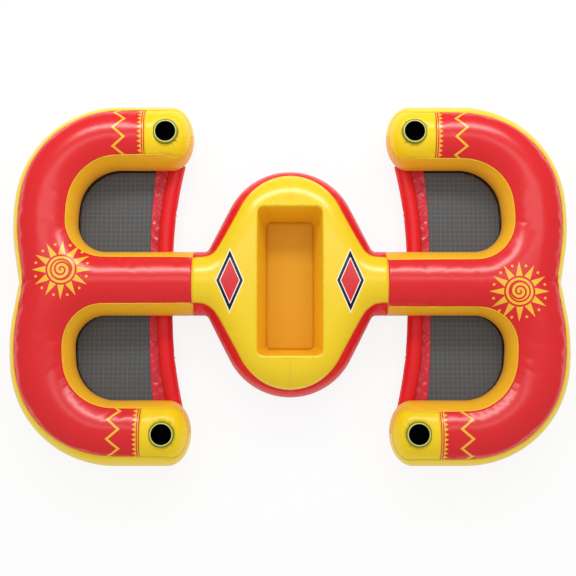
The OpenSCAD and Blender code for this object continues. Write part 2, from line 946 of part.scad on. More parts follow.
west_top_panel();
west_bottom_panel();
west_outer_wall();
nw_seat_wall();
sw_seat_wall();
nw_end_patch();
sw_end_patch();
west_bulkhead();
east_top_panel();
east_bottom_panel();
east_outer_wall();
ne_seat_wall();
se_seat_wall();
ne_end_patch();
se_end_patch();
east_bulkhead();
centre_top_panel();
centre_bottom_panel();
centre_north_wall();
centre_south_wall();
well_wall();
well_floor();
north_web();
south_web();
nw_cup();
sw_cup();
ne_cup();
se_cup();
nw_cup_ring();
sw_cup_ring();
ne_cup_ring();
se_cup_ring();
nw_mesh_seat();
sw_mesh_seat();
ne_mesh_seat();
se_mesh_seat();
nw_seat_hem();
sw_seat_hem();
ne_seat_hem();
se_seat_hem();
nw_front_tube();
sw_front_tube();
ne_front_tube();
se_front_tube();
nw_front_flange();
sw_front_flange();
ne_front_flange();
se_front_flange();
west_valve();
east_valve();
centre_valve();
front_tube_valves();
west_valve_cap();
east_valve_cap();
centre_valve_cap();
nw_front_cap();
sw_front_cap();
ne_front_cap();
se_front_cap();
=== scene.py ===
"""Inflatable four-person floating lounge: welded film skins, mesh seats, cup holders and valves."""
import json
from math import acos, asin, atan2, cos, hypot, pi, radians, sin, tan, tanh

import bmesh
import bpy
from bpy.props import FloatProperty, PointerProperty, StringProperty
from bpy.types import Operator, Panel, PropertyGroup
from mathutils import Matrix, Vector


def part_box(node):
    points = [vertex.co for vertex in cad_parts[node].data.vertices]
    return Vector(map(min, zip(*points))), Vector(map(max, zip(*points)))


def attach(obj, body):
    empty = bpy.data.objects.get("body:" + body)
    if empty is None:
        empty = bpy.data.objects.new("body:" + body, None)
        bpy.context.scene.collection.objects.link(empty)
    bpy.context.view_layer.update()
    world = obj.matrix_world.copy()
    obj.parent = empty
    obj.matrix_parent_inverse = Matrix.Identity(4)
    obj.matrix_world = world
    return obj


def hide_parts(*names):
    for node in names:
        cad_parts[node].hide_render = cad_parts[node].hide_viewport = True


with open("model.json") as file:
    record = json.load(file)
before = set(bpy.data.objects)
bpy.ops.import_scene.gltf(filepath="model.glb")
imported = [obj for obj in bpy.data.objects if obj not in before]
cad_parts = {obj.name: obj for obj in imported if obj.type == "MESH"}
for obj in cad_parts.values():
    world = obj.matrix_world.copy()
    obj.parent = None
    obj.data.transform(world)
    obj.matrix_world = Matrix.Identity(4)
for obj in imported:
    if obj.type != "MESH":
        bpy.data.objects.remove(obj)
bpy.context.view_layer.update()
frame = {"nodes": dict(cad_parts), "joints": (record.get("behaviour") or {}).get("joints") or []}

bl_info = {
    "name": "Floating lounge",
    "version": (1, 0, 0),
    "blender": (4, 5, 0),
    "location": "View3D > Sidebar > Lounge",
    "description": "Builds an inflatable floating lounge on its packed construction model",
    "category": "Add Mesh",
}

# Sizes that follow from the construction model, in metres
SAG = 0.0015
TUBE_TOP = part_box("west_top_panel")[1].z
RADIUS = (TUBE_TOP + SAG) / 2
ARM_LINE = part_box("west_outer_wall")[1].y - RADIUS
BACK_LINE = -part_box("west_outer_wall")[0].x - RADIUS
TIP_END = -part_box("west_outer_wall")[1].x
WELL_LOW, WELL_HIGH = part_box("well_wall")
CUP_LOW, CUP_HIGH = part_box("nw_cup")
RING_LOW, RING_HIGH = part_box("nw_cup_ring")
MESH_LOW, MESH_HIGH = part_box("nw_mesh_seat")
# Thickness of the well's wall in the construction model
WELL_WALL = 0.002
BODY = "lounge"
LENGTH = {"unit": "LENGTH", "precision": 4}
ANGLE = {"unit": "ROTATION"}

# Size of one cell of a skin's mesh, and the points round a tube that put an edge on each seam
CELL = 0.0118
AROUND = 92
SEAM_ROW = 11
SEAM_ANGLE = 2 * pi * SEAM_ROW / AROUND
# Points this near to one another count as one place
NEAR = 0.0005
# Thickness of the film, and radius of the weld bead along a seam
FILM = 0.0009
BEAD = 0.0018
# Radius of the hole in the film for each kind of valve
VALVE_HOLE = 0.019
FRONT_VALVE_HOLE = 0.0115
# How far mesh and hem run on under the front film
TUCK = 0.032
# Depth and half width of the crease that the inner web pulls
CREASE_DEPTH = 0.0035
CREASE_HALF = 0.016
# Refractive index of plasticised PVC
PVC_IOR = 1.53
# What marks a material slot that only names a panel
MARK = "panel "
# Part of each name that changes when a piece is turned half round
TURNED_NAMES = {"nw": "se", "sw": "ne", "west": "east"}


# ---------- properties ----------

class LoungeTubeSizes(PropertyGroup):
    radius: FloatProperty(name="Tube radius", description="Radius of the arms, backs and body edge",
                          default=RADIUS, **LENGTH)
    sag: FloatProperty(name="Rest sag", description="How far a resting tube flattens",
                       default=SAG, **LENGTH)
    arm_line: FloatProperty(name="Arm line", description="From the middle to an outer arm's axis",
                            default=ARM_LINE, **LENGTH)
    back_line: FloatProperty(name="Back line", description="From the middle to a back tube's axis",
                             default=BACK_LINE, **LENGTH)
    lobe: FloatProperty(name="Lobe", description="From the middle line to a back tube's widest place",
                        default=0.32, **LENGTH)
    back_curve: FloatProperty(name="Back curve", description="Radius of the curve along a back tube",
                              default=0.85, **LENGTH)
    corner_rest: FloatProperty(name="Corner rest", description="Angle where back meets corner curve",
                               default=radians(8), **ANGLE)
    notch: FloatProperty(name="Notch", description="Angle of the back's notch at the middle line",
                         default=radians(9.5), **ANGLE)
    tip_start: FloatProperty(name="Tip start", description="From the middle to the arm's rounded end",
                             default=0.621, **LENGTH)
    tip_end: FloatProperty(name="Tip end", description="From the middle to the end of an outer arm",
                           default=TIP_END, **LENGTH)
    patch_edge: FloatProperty(name="Patch edge", description="From the middle to the end patch's seam",
                              default=0.745, **LENGTH)
    weld_line: FloatProperty(name="Weld line", description="From the middle to the modules' weld",
                             default=0.495, **LENGTH)


class LoungeBodySizes(PropertyGroup):
    neck_line: FloatProperty(name="Neck line", description="From the middle to where the neck widens",
                             default=0.445, **LENGTH)
    flare: FloatProperty(name="Flare radius", description="Radius of the hollow curve at a neck",
                         default=0.195, **LENGTH)
    flare_turn: FloatProperty(name="Flare angle", description="Angle that the flare turns through",
                              default=radians(63), **ANGLE)
    end_line: FloatProperty(name="End line", description="From the middle to the end's edge axis",
                            default=0.42, **LENGTH)
    well_length: FloatProperty(name="Well length", description="Length of the well's opening",
                               default=round(WELL_HIGH.y - WELL_LOW.y - 2 * WELL_WALL, 3), **LENGTH)
    well_width: FloatProperty(name="Well width", description="Width of the well's opening",
                              default=round(WELL_HIGH.x - WELL_LOW.x - 2 * WELL_WALL, 3), **LENGTH)
    well_corner: FloatProperty(name="Well corner", description="Radius of the well's corners",
                               default=0.032, **LENGTH)
    well_lean: FloatProperty(name="Well lean", description="How far the well's walls lean in",
                             default=0.052, **LENGTH)
    well_floor: FloatProperty(name="Well floor", description="Height of the well's floor",
                              default=0.08, **LENGTH)


class LoungeSeatSizes(PropertyGroup):
    mesh_height: FloatProperty(name="Mesh height", description="Height of the mesh seat",
                               default=(MESH_LOW.z + MESH_HIGH.z) / 2, **LENGTH)
    mesh_front: FloatProperty(name="Mesh front", description="From the middle to the mesh's front",
                              default=-MESH_HIGH.x, **LENGTH)
    hem_edge: FloatProperty(name="Hem edge", description="From a tube's axis to the hem's free edge",
                            default=0.160, **LENGTH)
    sag: FloatProperty(name="Mesh sag", description="How far the empty mesh sags", default=0.007, **LENGTH)
    tube_radius: FloatProperty(name="Front tube radius", description="Radius of a front tube",
                               default=0.040, **LENGTH)
    tube_height: FloatProperty(name="Front tube height", description="Height of its axis",
                               default=0.074, **LENGTH)
    tube_line: FloatProperty(name="Front tube line", description="From the middle to its axis",
                             default=0.658, **LENGTH)
    tube_bow: FloatProperty(name="Front tube bow", description="Radius of its bow", default=1.9, **LENGTH)


class LoungeAir(PropertyGroup):
    pressure: FloatProperty(name="Pressure", description="Air pressure of the cloth simulation", default=4.0)
    shrink: FloatProperty(name="Seam shrink", description="How much a welded seam draws in", default=0.02)
    most: FloatProperty(name="Most movement", description="Furthest that the air moves a point",
                        default=0.008, **LENGTH)
    top_share: FloatProperty(name="Share on top", description="Movement away from seams, as a share",
                             default=0.08)


class LoungeColours(PropertyGroup):
    red: StringProperty(name="Red film", description="Main film, as sRGB hex", default="#EC1D24")
    yellow: StringProperty(name="Yellow film", description="Centre, patches and walls", default="#FFD90F")
    # The seat walls are the yellow film painted oranger: painted shade, as they face into the seats away from
    # the light
    amber: StringProperty(name="Yellow film in painted shade", description="Seat walls and well", default="#FBBE28")
    mesh: StringProperty(name="Mesh", description="Seat mesh", default="#595E62")
    flange: StringProperty(name="Flange", description="Thin film along the front tubes", default="#E8404E")
    # The hem is painted near black: painted shade of the gap under the tubes, where the real strip is red
    # film
    hem: StringProperty(name="Hem", description="Strip along the mesh", default="#33090C")
    ring: StringProperty(name="Ring", description="Welded ring of a cup holder", default="#D9DE84")
    cup: StringProperty(name="Cup", description="Cup holder", default="#040405")
    valve: StringProperty(name="Valve", description="Valves and caps", default="#DCDCD6")
    floor: StringProperty(name="Floor", description="Studio floor", default="#FFFFFF")


# ---------- plan of the tubes ----------

def axis_height(s):
    """Height of the tubes' axis above the ground."""
    return s.radius - s.sag


def seam_rise(s):
    """Height of the upper seams above the tubes' axis, and depth of the lower seams below it."""
    return s.radius * cos(SEAM_ANGLE)


def seat_plan(s):
    """Centres of the curves of a seat module's axis lines, in the north-west quarter."""
    back = Vector((-s.back_line + s.back_curve, s.lobe))
    reach = s.arm_line - s.lobe - s.back_curve * sin(s.corner_rest)
    corner_r = reach / (1 - sin(s.corner_rest))
    corner = back + (s.back_curve - corner_r) * Vector((-cos(s.corner_rest), sin(s.corner_rest)))
    fillet = Vector((-s.back_line + s.lobe, s.lobe))
    notch = back - s.back_curve * Vector((cos(s.notch), sin(s.notch)))
    notch_end = Vector((notch.x + notch.y * tan(s.notch), 0))
    return back, corner, corner_r, fillet, notch, notch_end


def body_plan(b):
    """Length of the straight side, and radius and centre of the rounded end, of the body's axis."""
    turn = b.flare_turn
    spread = b.end_line * sin(turn) - b.neck_line * (1 - cos(turn))
    side = spread / (sin(turn) ** 2 - cos(turn) * (1 - cos(turn)))
    end_r = (b.neck_line - side * cos(turn)) / sin(turn) - b.flare
    return side, end_r, Vector((0, b.end_line - end_r))


# ---------- modelling helpers ----------

def activate(obj):
    """Makes this the only selected object, and the active one."""
    bpy.ops.object.select_all(action="DESELECT")
    obj.select_set(True)
    bpy.context.view_layer.objects.active = obj


def edit(obj):
    """Opens the object in edit mode, by points, with nothing selected."""
    activate(obj)
    bpy.ops.object.mode_set(mode="EDIT")
    bpy.ops.mesh.select_mode(type="VERT")
    bpy.ops.mesh.select_all(action="DESELECT")


def leave():
    """Goes back to object mode."""
    bpy.ops.object.mode_set(mode="OBJECT")


def pick(obj, test, kind="VERT"):
    """Selects just the verts, edges or faces that pass the test, and says how many."""
    bpy.ops.mesh.select_mode(type=kind)
    bpy.ops.mesh.select_all(action="DESELECT")
    mesh = bmesh.from_edit_mesh(obj.data)
    chosen = [e for e in {"VERT": mesh.verts, "EDGE": mesh.edges, "FACE": mesh.faces}[kind] if test(e)]
    for element in chosen:
        element.select = True
    mesh.select_flush_mode()
    bmesh.update_edit_mesh(obj.data)
    return len(chosen)


def apply_modifier(obj, kind, **settings):
    """Adds a modifier with these settings and applies it."""
    activate(obj)
    modifier = obj.modifiers.new(kind.lower(), kind)
    for key, value in settings.items():
        setattr(modifier, key, value)
    bpy.ops.object.modifier_apply(modifier=modifier.name)


def place_mesh():
    """Moves the active object's place into its mesh."""
    bpy.ops.object.transform_apply(location=True, rotation=True, scale=True)


def start_mesh(name, add, **settings):
    """Starts an object from a primitive, with its place in its mesh."""
    bpy.ops.object.select_all(action="DESELECT")
    add(**settings)
    obj = bpy.context.object
    obj.name = name
    place_mesh()
    return obj


def smooth(obj, angle=None):
    """Shades smooth, all over or up to an angle between faces."""
    activate(obj)
    if angle is None:
        bpy.ops.object.shade_smooth()
    else:
        bpy.ops.object.shade_smooth_by_angle(angle=angle)


def everything():
    """Selects the whole mesh in edit mode."""
    bpy.ops.mesh.select_all(action="SELECT")


def outward(obj):
    """Turns all faces of a closed mesh to face outward."""
    edit(obj)
    everything()
    bpy.ops.mesh.normals_make_consistent(inside=False)
    leave()


def weld_points(threshold):
    """Makes one of all points that lie this near to one another."""
    everything()
    bpy.ops.mesh.remove_doubles(threshold=threshold)


def fade(distance, length):
    """1 at no distance, and less and less beyond."""
    return 2.718 ** (-distance / length)


def flat(point):
    """Its place seen from above."""
    return Vector((point[0], point[1]))


def step_between(value, low, high):
    """0 below low, 1 above high, smooth between."""
    t = min(1, max(0, (value - low) / (high - low)))
    return t * t * (3 - 2 * t)


def straight(heading, length, cell=CELL):
    """Sweeps what is selected along a straight line."""
    steps = max(1, round(length / cell))
    step = (cos(heading) * length / steps, sin(heading) * length / steps, 0)
    for _ in range(steps):
        bpy.ops.mesh.extrude_region_move(TRANSFORM_OT_translate={"value": step})


def turn(centre, angle, radius, cell=CELL):
    """Sweeps what is selected round an upright axis; a positive angle turns left."""
    steps = max(1, round(abs(angle) * radius / cell))
    bpy.ops.mesh.spin(steps=steps, angle=-angle, center=(centre[0], centre[1], 0), axis=(0, 0, 1))


def half_ring(name, start, heading, radius, height):
    """The left half of a tube's section, in edit mode and ready to be swept."""
    obj = start_mesh(name, bpy.ops.mesh.primitive_circle_add, vertices=AROUND, radius=radius,
                     location=(start[0], start[1], height), rotation=(pi / 2, 0, heading - pi / 2))
    edit(obj)
    left = Vector((-sin(heading), cos(heading)))
    pick(obj, lambda v: (flat(v.co) - flat(start)).dot(left) < -1e-5)
    bpy.ops.mesh.delete(type="VERT")
    everything()
    return obj


def lone_vert(place):
    """Adds one point to the mesh in edit mode, and leaves just that selected."""
    bpy.ops.mesh.select_all(action="DESELECT")
    bpy.ops.mesh.primitive_plane_add(size=0.01, location=place)
    bpy.ops.mesh.merge(type="CENTER")


def join_points(obj, a, b, cuts):
    """Joins two points by an edge in so many parts."""
    pick(obj, lambda v: (v.co - a).length < NEAR or (v.co - b).length < NEAR)
    bpy.ops.mesh.edge_face_add()
    if cuts:
        bpy.ops.mesh.subdivide(number_cuts=cuts)


def fill_loop(obj, rim, cell, passes=5):
    """Fills the loop of open edges that pass the rim test, and evens out its triangles."""
    pick(obj, lambda e: (e.is_boundary or e.is_wire) and rim(e), "EDGE")
    bpy.ops.mesh.edge_face_add()
    bpy.ops.mesh.hide(unselected=True)
    bpy.ops.mesh.quads_convert_to_tris(ngon_method="BEAUTY")
    inside = lambda e: len(e.link_faces) > 1 and not any(f.hide for f in e.link_faces)
    for _ in range(passes):
        if pick(obj, lambda e: inside(e) and e.calc_length() > 1.7 * cell, "EDGE"):
            bpy.ops.mesh.subdivide(number_cuts=1)
        pick(obj, lambda f: not f.hide, "FACE")
        bpy.ops.mesh.quads_convert_to_tris()
        bpy.ops.mesh.beautify_fill()
        pick(obj, lambda v: inside(v) and not v.is_boundary)
        bpy.ops.mesh.vertices_smooth(factor=0.5, repeat=4)
    bpy.ops.mesh.reveal(select=False)


def mirror_north(obj):
    """Copies the north half to the south and joins the two on the middle line."""
    leave()
    apply_modifier(obj, "MIRROR", use_axis=(False, True, False), use_mirror_merge=True,
                   merge_threshold=NEAR)
    edit(obj)


def write_attribute(obj, name, kind, value):
    """Stores value(point) at each point, for the materials to read."""
    layer = obj.data.attributes.new(name, kind, "POINT")
    field = "vector" if kind == "FLOAT_VECTOR" else "value"
    for vert, item in zip(obj.data.vertices, layer.data):
        setattr(item, field, value(vert.co))


def note_panels(obj, name_of):
    """Gives each face the panel it is cut from, as a material slot with the panel's name."""
    names = {}
    for face in obj.data.polygons:
        name = name_of(face.center)
        if name not in names:
            names[name] = len(names)
            marker = bpy.data.materials.get(MARK + name) or bpy.data.materials.new(MARK + name)
            obj.data.materials.append(marker)
        face.material_index = names[name]


def panel_names(obj):
    """The panel that each of its material slots stands for."""
    return [m.name.removeprefix(MARK) for m in obj.data.materials]


def inflate(obj, pinned, at_seam, air, frames=20):
    """Blows the closed skin up as cloth, with its seams drawn in, and applies the result."""
    for name, test in {"held": pinned, "seam": at_seam}.items():
        members = [v.index for v in obj.data.vertices if test(v)]
        obj.vertex_groups.new(name=name).add(members, 1.0, "REPLACE")
    activate(obj)
    cloth = obj.modifiers.new("air", "CLOTH")
    settings = {
        "quality": 5, "mass": 0.3, "air_damping": 1, "tension_stiffness": 60,
        "compression_stiffness": 60, "shear_stiffness": 30, "bending_stiffness": 1,
        "tension_damping": 5, "compression_damping": 5, "shear_damping": 5, "bending_damping": 0.5,
        "use_pressure": True, "uniform_pressure_force": air.pressure, "vertex_group_mass": "held",
        "vertex_group_shrink": "seam", "shrink_min": 0, "shrink_max": air.shrink,
    }
    for key, value in settings.items():
        setattr(cloth.settings, key, value)
    cloth.settings.effector_weights.gravity = 0
    cloth.collision_settings.use_collision = False
    cloth.point_cache.frame_end = frames
    for step in range(1, frames + 1):
        bpy.context.scene.frame_set(step)
    bpy.ops.object.modifier_apply(modifier=cloth.name)
    bpy.context.scene.frame_set(1)
    obj.vertex_groups.clear()


def blurred(obj, moves, passes):
    """Each point's movement, evened out with its neighbours' so many times."""
    near = [[] for _ in moves]
    for edge in obj.data.edges:
        a, b = edge.vertices
        near[a].append(b)
        near[b].append(a)
    for _ in range(passes):
        moves = [sum((moves[i] for i in them), move) / (len(them) + 1) for move, them in zip(moves, near)]
    return moves


def freedom(s, air, place, valve):
    """Share of the air's movement kept at a place: all at a seam, little on top, none by a valve."""
    seam = fade(seam_distance(s, place), 0.05)
    return step_between((place - valve).length, 0.04, 0.1) * (air.top_share + (1 - air.top_share) * seam)


def settle(obj, home, most, free, passes=24):
    """Keeps the folds that the air has made, not the drift of whole tubes, and limits their depth."""
    moves = [v.co - rest for v, rest in zip(obj.data.vertices, home)]
    drift = blurred(obj, moves, passes)
    for vert, rest, move, slow in zip(obj.data.vertices, home, moves, drift):
        move = move - slow
        if move.length > 1e-6:
            move *= most * tanh(move.length / most) / move.length * free(rest)
        vert.co = rest + move
        vert.co.z = max(0, vert.co.z)


def roll_seams(obj, radius, shift):
    """Moves the seams of a skin round its tubes by shift(place, outward) radians."""
    moved = []
    for vert in obj.data.vertices:
        out = Vector((vert.normal.x, vert.normal.y, 0))
        angle = atan2(out.length, vert.normal.z)
        if out.length < 1e-3 or angle > 3:
            continue
        out.normalize()
        above, below = angle / (2 * SEAM_ANGLE), 0.5 + (angle - SEAM_ANGLE) / (2 * (pi - SEAM_ANGLE))
        share = sin(pi * min(above, below))
        turned_by = angle + share * shift(vert.co, out)
        axis = vert.co - radius * (sin(angle) * out + Vector((0, 0, cos(angle))))
        moved.append((vert, axis + radius * (sin(turned_by) * out + Vector((0, 0, cos(turned_by))))))
    for vert, place in moved:
        vert.co = place


def valve_places():
    """Centre and outward direction of each valve: the cap's hinge pin lies along the tube."""
    tilt = {"valve": radians(118), "front": radians(128)}
    places = {}
    for joint in frame["joints"]:
        cap = joint["child"]
        low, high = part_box(cap)
        lean = tilt["valve" if cap.endswith("valve_cap") else "front"]
        out = Vector((-joint["axis"][1], joint["axis"][0], 0))
        axis = sin(lean) * out + cos(lean) * Vector((0, 0, 1))
        places[cap] = ((low + high) / 2, axis.normalized())
    return places


def off_axis(point, place, axis):
    """Distance of a point from the line through place along axis, and along it."""
    along = (point - place).dot(axis)
    return (point - place - along * axis).length, along


def cut_hole(obj, place, axis, radius, depth=0.06):
    """Cuts a round hole in a skin, with its rim drawn to a true circle."""
    edit(obj)

    def inside(v, r):
        away, along = off_axis(v.co, place, axis)
        return away < r and abs(along) < depth
    if pick(obj, lambda v: inside(v, radius)):
        bpy.ops.mesh.delete(type="VERT")
    mesh = bmesh.from_edit_mesh(obj.data)
    for v in mesh.verts:
        if v.is_boundary and inside(v, radius + 2 * CELL):
            foot = place + (v.co - place).dot(axis) * axis
            v.co = foot + (v.co - foot).normalized() * radius
    bmesh.update_edit_mesh(obj.data)
    leave()


def seam_beads(obj, name, wall_names):
    """A round weld bead along each seam between a wall and a panel."""
    edit(obj)
    slots = panel_names(obj)
    is_wall = lambda f: slots[f.material_index] in wall_names

    def on_seam(e):
        if len(e.link_faces) != 2:
            return False
        a, b = e.link_faces
        return is_wall(a) != is_wall(b)
    pick(obj, on_seam, "EDGE")
    bpy.ops.mesh.duplicate()
    bpy.ops.mesh.separate(type="SELECTED")
    leave()
    bead = next(o for o in bpy.context.selected_objects if o != obj)
    bead.name = name
    activate(bead)
    bead.data.materials.clear()
    bpy.ops.object.convert(target="CURVE")
    bead = bpy.context.object
    bead.data.bevel_depth = BEAD
    bead.data.bevel_resolution = 1
    bpy.ops.object.convert(target="MESH")
    smooth(bpy.context.object)
    return bpy.context.object


def part_panels(obj, unwanted):
    """Parts the skin into its panels and returns them by panel name."""
    edit(obj)
    slots = panel_names(obj)
    if pick(obj, lambda f: slots[f.material_index] in unwanted, "FACE"):
        bpy.ops.mesh.delete(type="FACE")
    everything()
    bpy.ops.mesh.separate(type="MATERIAL")
    leave()
    panels = {}
    for piece in list(bpy.context.selected_objects):
        name = panel_names(piece)[0]
        piece.name = piece.data.name = name + "_film"
        piece.data.materials.clear()
        panels[name] = piece
    for marker in [m for m in bpy.data.materials if m.name.startswith(MARK)]:
        bpy.data.materials.remove(marker)
    return panels


def finish_film(piece, node):
    """Gives a panel of film its thickness, material, slot and place in the model."""
    apply_modifier(piece, "SOLIDIFY", thickness=FILM, offset=-1)
    smooth(piece)
    dress(piece, node)


def dress(piece, node, body=BODY):
    """Sets a piece's material and slot, and says which body it rides on and what it replaces."""
    piece.data.materials.clear()
    piece.data.materials.append(finish(node_finish(node)))
    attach(piece, body)
    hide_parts(node)


def turned_copy(piece, name):
    """A copy with its own mesh, turned half round the middle of the lounge."""
    activate(piece)
    bpy.ops.object.duplicate(linked=False)
    copy = bpy.context.object
    bpy.ops.transform.rotate(value=pi, orient_axis="Z", center_override=(0, 0, 0))
    place_mesh()
    copy.name = copy.data.name = name
    return copy


def turned_name(name):
    """The name of the like piece on the other side."""
    head, tail = name.split("_", 1)
    return TURNED_NAMES[head] + "_" + tail


# ---------- seat modules ----------

def seat_skin(s):
    """The closed skin of the west seat module, swept round its plan and filled between its tubes."""
    back, corner, corner_r, fillet, notch, notch_end = seat_plan(s)
    height = axis_height(s)
    quarter = pi / 2
    obj = half_ring("west_skin", notch_end, quarter + s.notch, s.radius, height)
    straight(quarter + s.notch, notch.y / cos(s.notch))
    turn(back, -s.notch, s.back_curve)
    turn(back, -s.corner_rest, s.back_curve)
    turn(corner, -(quarter - s.corner_rest), corner_r)
    straight(0, -corner.x - s.patch_edge)
    straight(0, s.patch_edge - s.tip_start)
    turn((-s.tip_start, s.arm_line), -pi, s.radius * 0.9)
    straight(pi, s.patch_edge - s.tip_start)
    straight(pi, -corner.x - s.patch_edge)
    turn(corner, quarter - s.corner_rest, corner_r)
    turn(back, s.corner_rest, s.back_curve)
    cusp = 6 * CELL / s.lobe
    turn(fillet, cusp, s.lobe)
    turn(fillet, quarter - cusp, s.lobe * 0.65)
    straight(0, -fillet.x - s.weld_line)
    weld_points(0.0004)
    bpy.ops.mesh.bisect(plane_co=(0, 0, 0), plane_no=(0, 1, 0), clear_inner=True, threshold=1e-5)
    # Where back and seat curves part, points that nearly touch become one
    meet = Vector((-s.back_line, s.lobe))
    pick(obj, lambda v: abs(abs(v.co.z - height) - s.radius) < 1e-4
         and (flat(v.co) - meet).length < 0.066 and v.co.y < s.lobe + 1e-4)
    bpy.ops.mesh.remove_doubles(threshold=0.0042)
    for z in (height + s.radius, height - s.radius):
        a, b = Vector((*notch_end, z)), Vector((fillet.x, 0, z))
        join_points(obj, a, b, round((b - a).length / CELL) - 1)
        fill_loop(obj, lambda e: all(abs(v.co.z - z) < 1e-4 and v.co.y < s.lobe + 1e-4
                                     and v.co.x < fillet.x + 1e-4 for v in e.verts), CELL)
    pick(obj, lambda v: v.co.x > -s.tip_start + 1e-5 and v.co.y > s.lobe)
    bpy.ops.transform.resize(value=((s.tip_start - s.tip_end) / s.radius, 1, 1),
                             center_override=(-s.tip_start, s.arm_line, height))
    mirror_north(obj)
    pick(obj, lambda e: e.is_boundary and all(abs(v.co.x + s.weld_line) < 1e-4 for v in e.verts), "EDGE")
    bpy.ops.mesh.edge_face_add()
    leave()
    outward(obj)
    return obj


def seat_panel_name(s, point):
    """The panel that covers this place on the west seat module."""
    back, corner, corner_r, fillet = seat_plan(s)[:4]
    height = axis_height(s)
    rise = seam_rise(s)
    side = "nw" if point.y > 0 else "sw"
    across = abs(point.y)
    place = Vector((point.x, across))
    if point.x > -s.weld_line - 1e-4:
        if across < s.radius + 0.01:
            return "bulkhead"
    if point.z > height + rise:
        on_patch = point.x > -s.patch_edge and across > s.lobe
        return side + "_end_patch" if on_patch else "west_top_panel"
    if point.z < height - rise:
        return "west_bottom_panel"
    if point.x > corner.x:
        outer = across > s.arm_line
    elif across > s.lobe:
        in_corner = atan2(place.y - corner.y, corner.x - place.x) > s.corner_rest
        outer = (place - corner).length > corner_r if in_corner else (place - back).length > s.back_curve
    else:
        outer = (place - fillet).length > s.lobe and point.x < fillet.x
    return "west_outer_wall" if outer else side + "_seat_wall"


def slant(s, z):
    """Angle from the top of a tube down to height z."""
    return acos(max(-1, min(1, (z - s.radius + s.sag) / s.radius)))


def seam_distance(s, point):
    """Distance over the skin to the nearer of the two seams."""
    angle = slant(s, point.z)
    return min(abs(angle - SEAM_ANGLE), abs(angle - pi + SEAM_ANGLE)) * s.radius


def seat_cut_place(s, point):
    """Place on the flat cut: along the lounge, across it, and round the tube from its top."""
    side = 1 if abs(point.y) > s.arm_line else -1
    return Vector((point.x, point.y, side * slant(s, point.z) * s.radius))


class LOUNGE_OT_seat_modules(Operator):
    """Inflates the two E-shaped seat modules and parts them into their welded panels"""
    bl_idname = "lounge.seat_modules"
    bl_label = "Seat modules"

    def execute(self, context):
        s, air = context.scene.lounge_tubes, context.scene.lounge_air
        skin = seat_skin(s)
        height = axis_height(s)
        note_panels(skin, lambda p: seat_panel_name(s, p))
        write_attribute(skin, "seam_distance", "FLOAT", lambda p: seam_distance(s, p))
        at_seam = seam_test(s, skin)

        def shift(p, out):
            at_tip = step_between(p.x, -s.tip_start - 0.03, -s.tip_start + 0.03) if abs(p.y) > s.lobe else 0
            return seam_roll(out) + radians(16) * at_tip * max(0, out.x)
        roll_seams(skin, s.radius, shift)
        write_attribute(skin, "cut_place", "FLOAT_VECTOR", lambda p: seat_cut_place(s, p))
        home = [v.co.copy() for v in skin.data.vertices]
        at_weld = lambda v: v.co.x > -s.weld_line - 1e-4 and abs(v.co.y) < s.radius + 0.01
        inflate(skin, at_weld, at_seam, air)
        cups = [Vector(((CUP_LOW.x + CUP_HIGH.x) / 2, y * s.arm_line, 0)) for y in (1, -1)]
        valve, valve_axis = valve_places()["west_valve_cap"]

        def free(p):
            at_cup = min((flat(p) - flat(c)).length for c in cups) if p.z > height else 1
            return step_between(at_cup, 0.066, 0.13) * freedom(s, air, p, valve)
        settle(skin, home, air.most, free)
        hole = (RING_HIGH.x - RING_LOW.x) / 2 - 0.006
        for cup in cups:
            cut_hole(skin, cup + Vector((0, 0, TUBE_TOP)), Vector((0, 0, 1)), hole)
        cut_hole(skin, valve, valve_axis, VALVE_HOLE)
        walls = ("west_outer_wall", "nw_seat_wall", "sw_seat_wall")
        beads = seam_beads(skin, "west_seams", walls)
        panels = part_panels(skin, ("bulkhead",))
        panels["west_seams"] = beads
        for name, piece in panels.items():
            copy = turned_copy(piece, turned_name(name) + ("" if "seams" in name else "_film"))
            for one, its in ((piece, name), (copy, turned_name(name))):
                # Beads replace no node of the construction model: they lie on top of its panels
                if "seams" in its:
                    one.data.materials.append(finish("seam"))
                    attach(one, BODY)
                else:
                    finish_film(one, its)
        return {"FINISHED"}


def seam_roll(out):
    """How far a seam is turned down from its even place, by the way that its side of a tube faces."""
    return (radians(3.6) + radians(4) * out.y) * out.y ** 2 + radians(5) * out.x ** 2


def seam_test(s, skin):
    """A test for the points that lie on a seam, kept from before the seams are moved."""
    height = axis_height(s)
    rise = seam_rise(s)
    on_seam = {v.index for v in skin.data.vertices if abs(abs(v.co.z - height) - rise) < 1e-3}
    return lambda v: v.index in on_seam


# ---------- centre module ----------

def well_inset(b, z):
    """How far the well's walls stand in from its opening at height z."""
    return b.well_lean * (1 - z / TUBE_TOP)


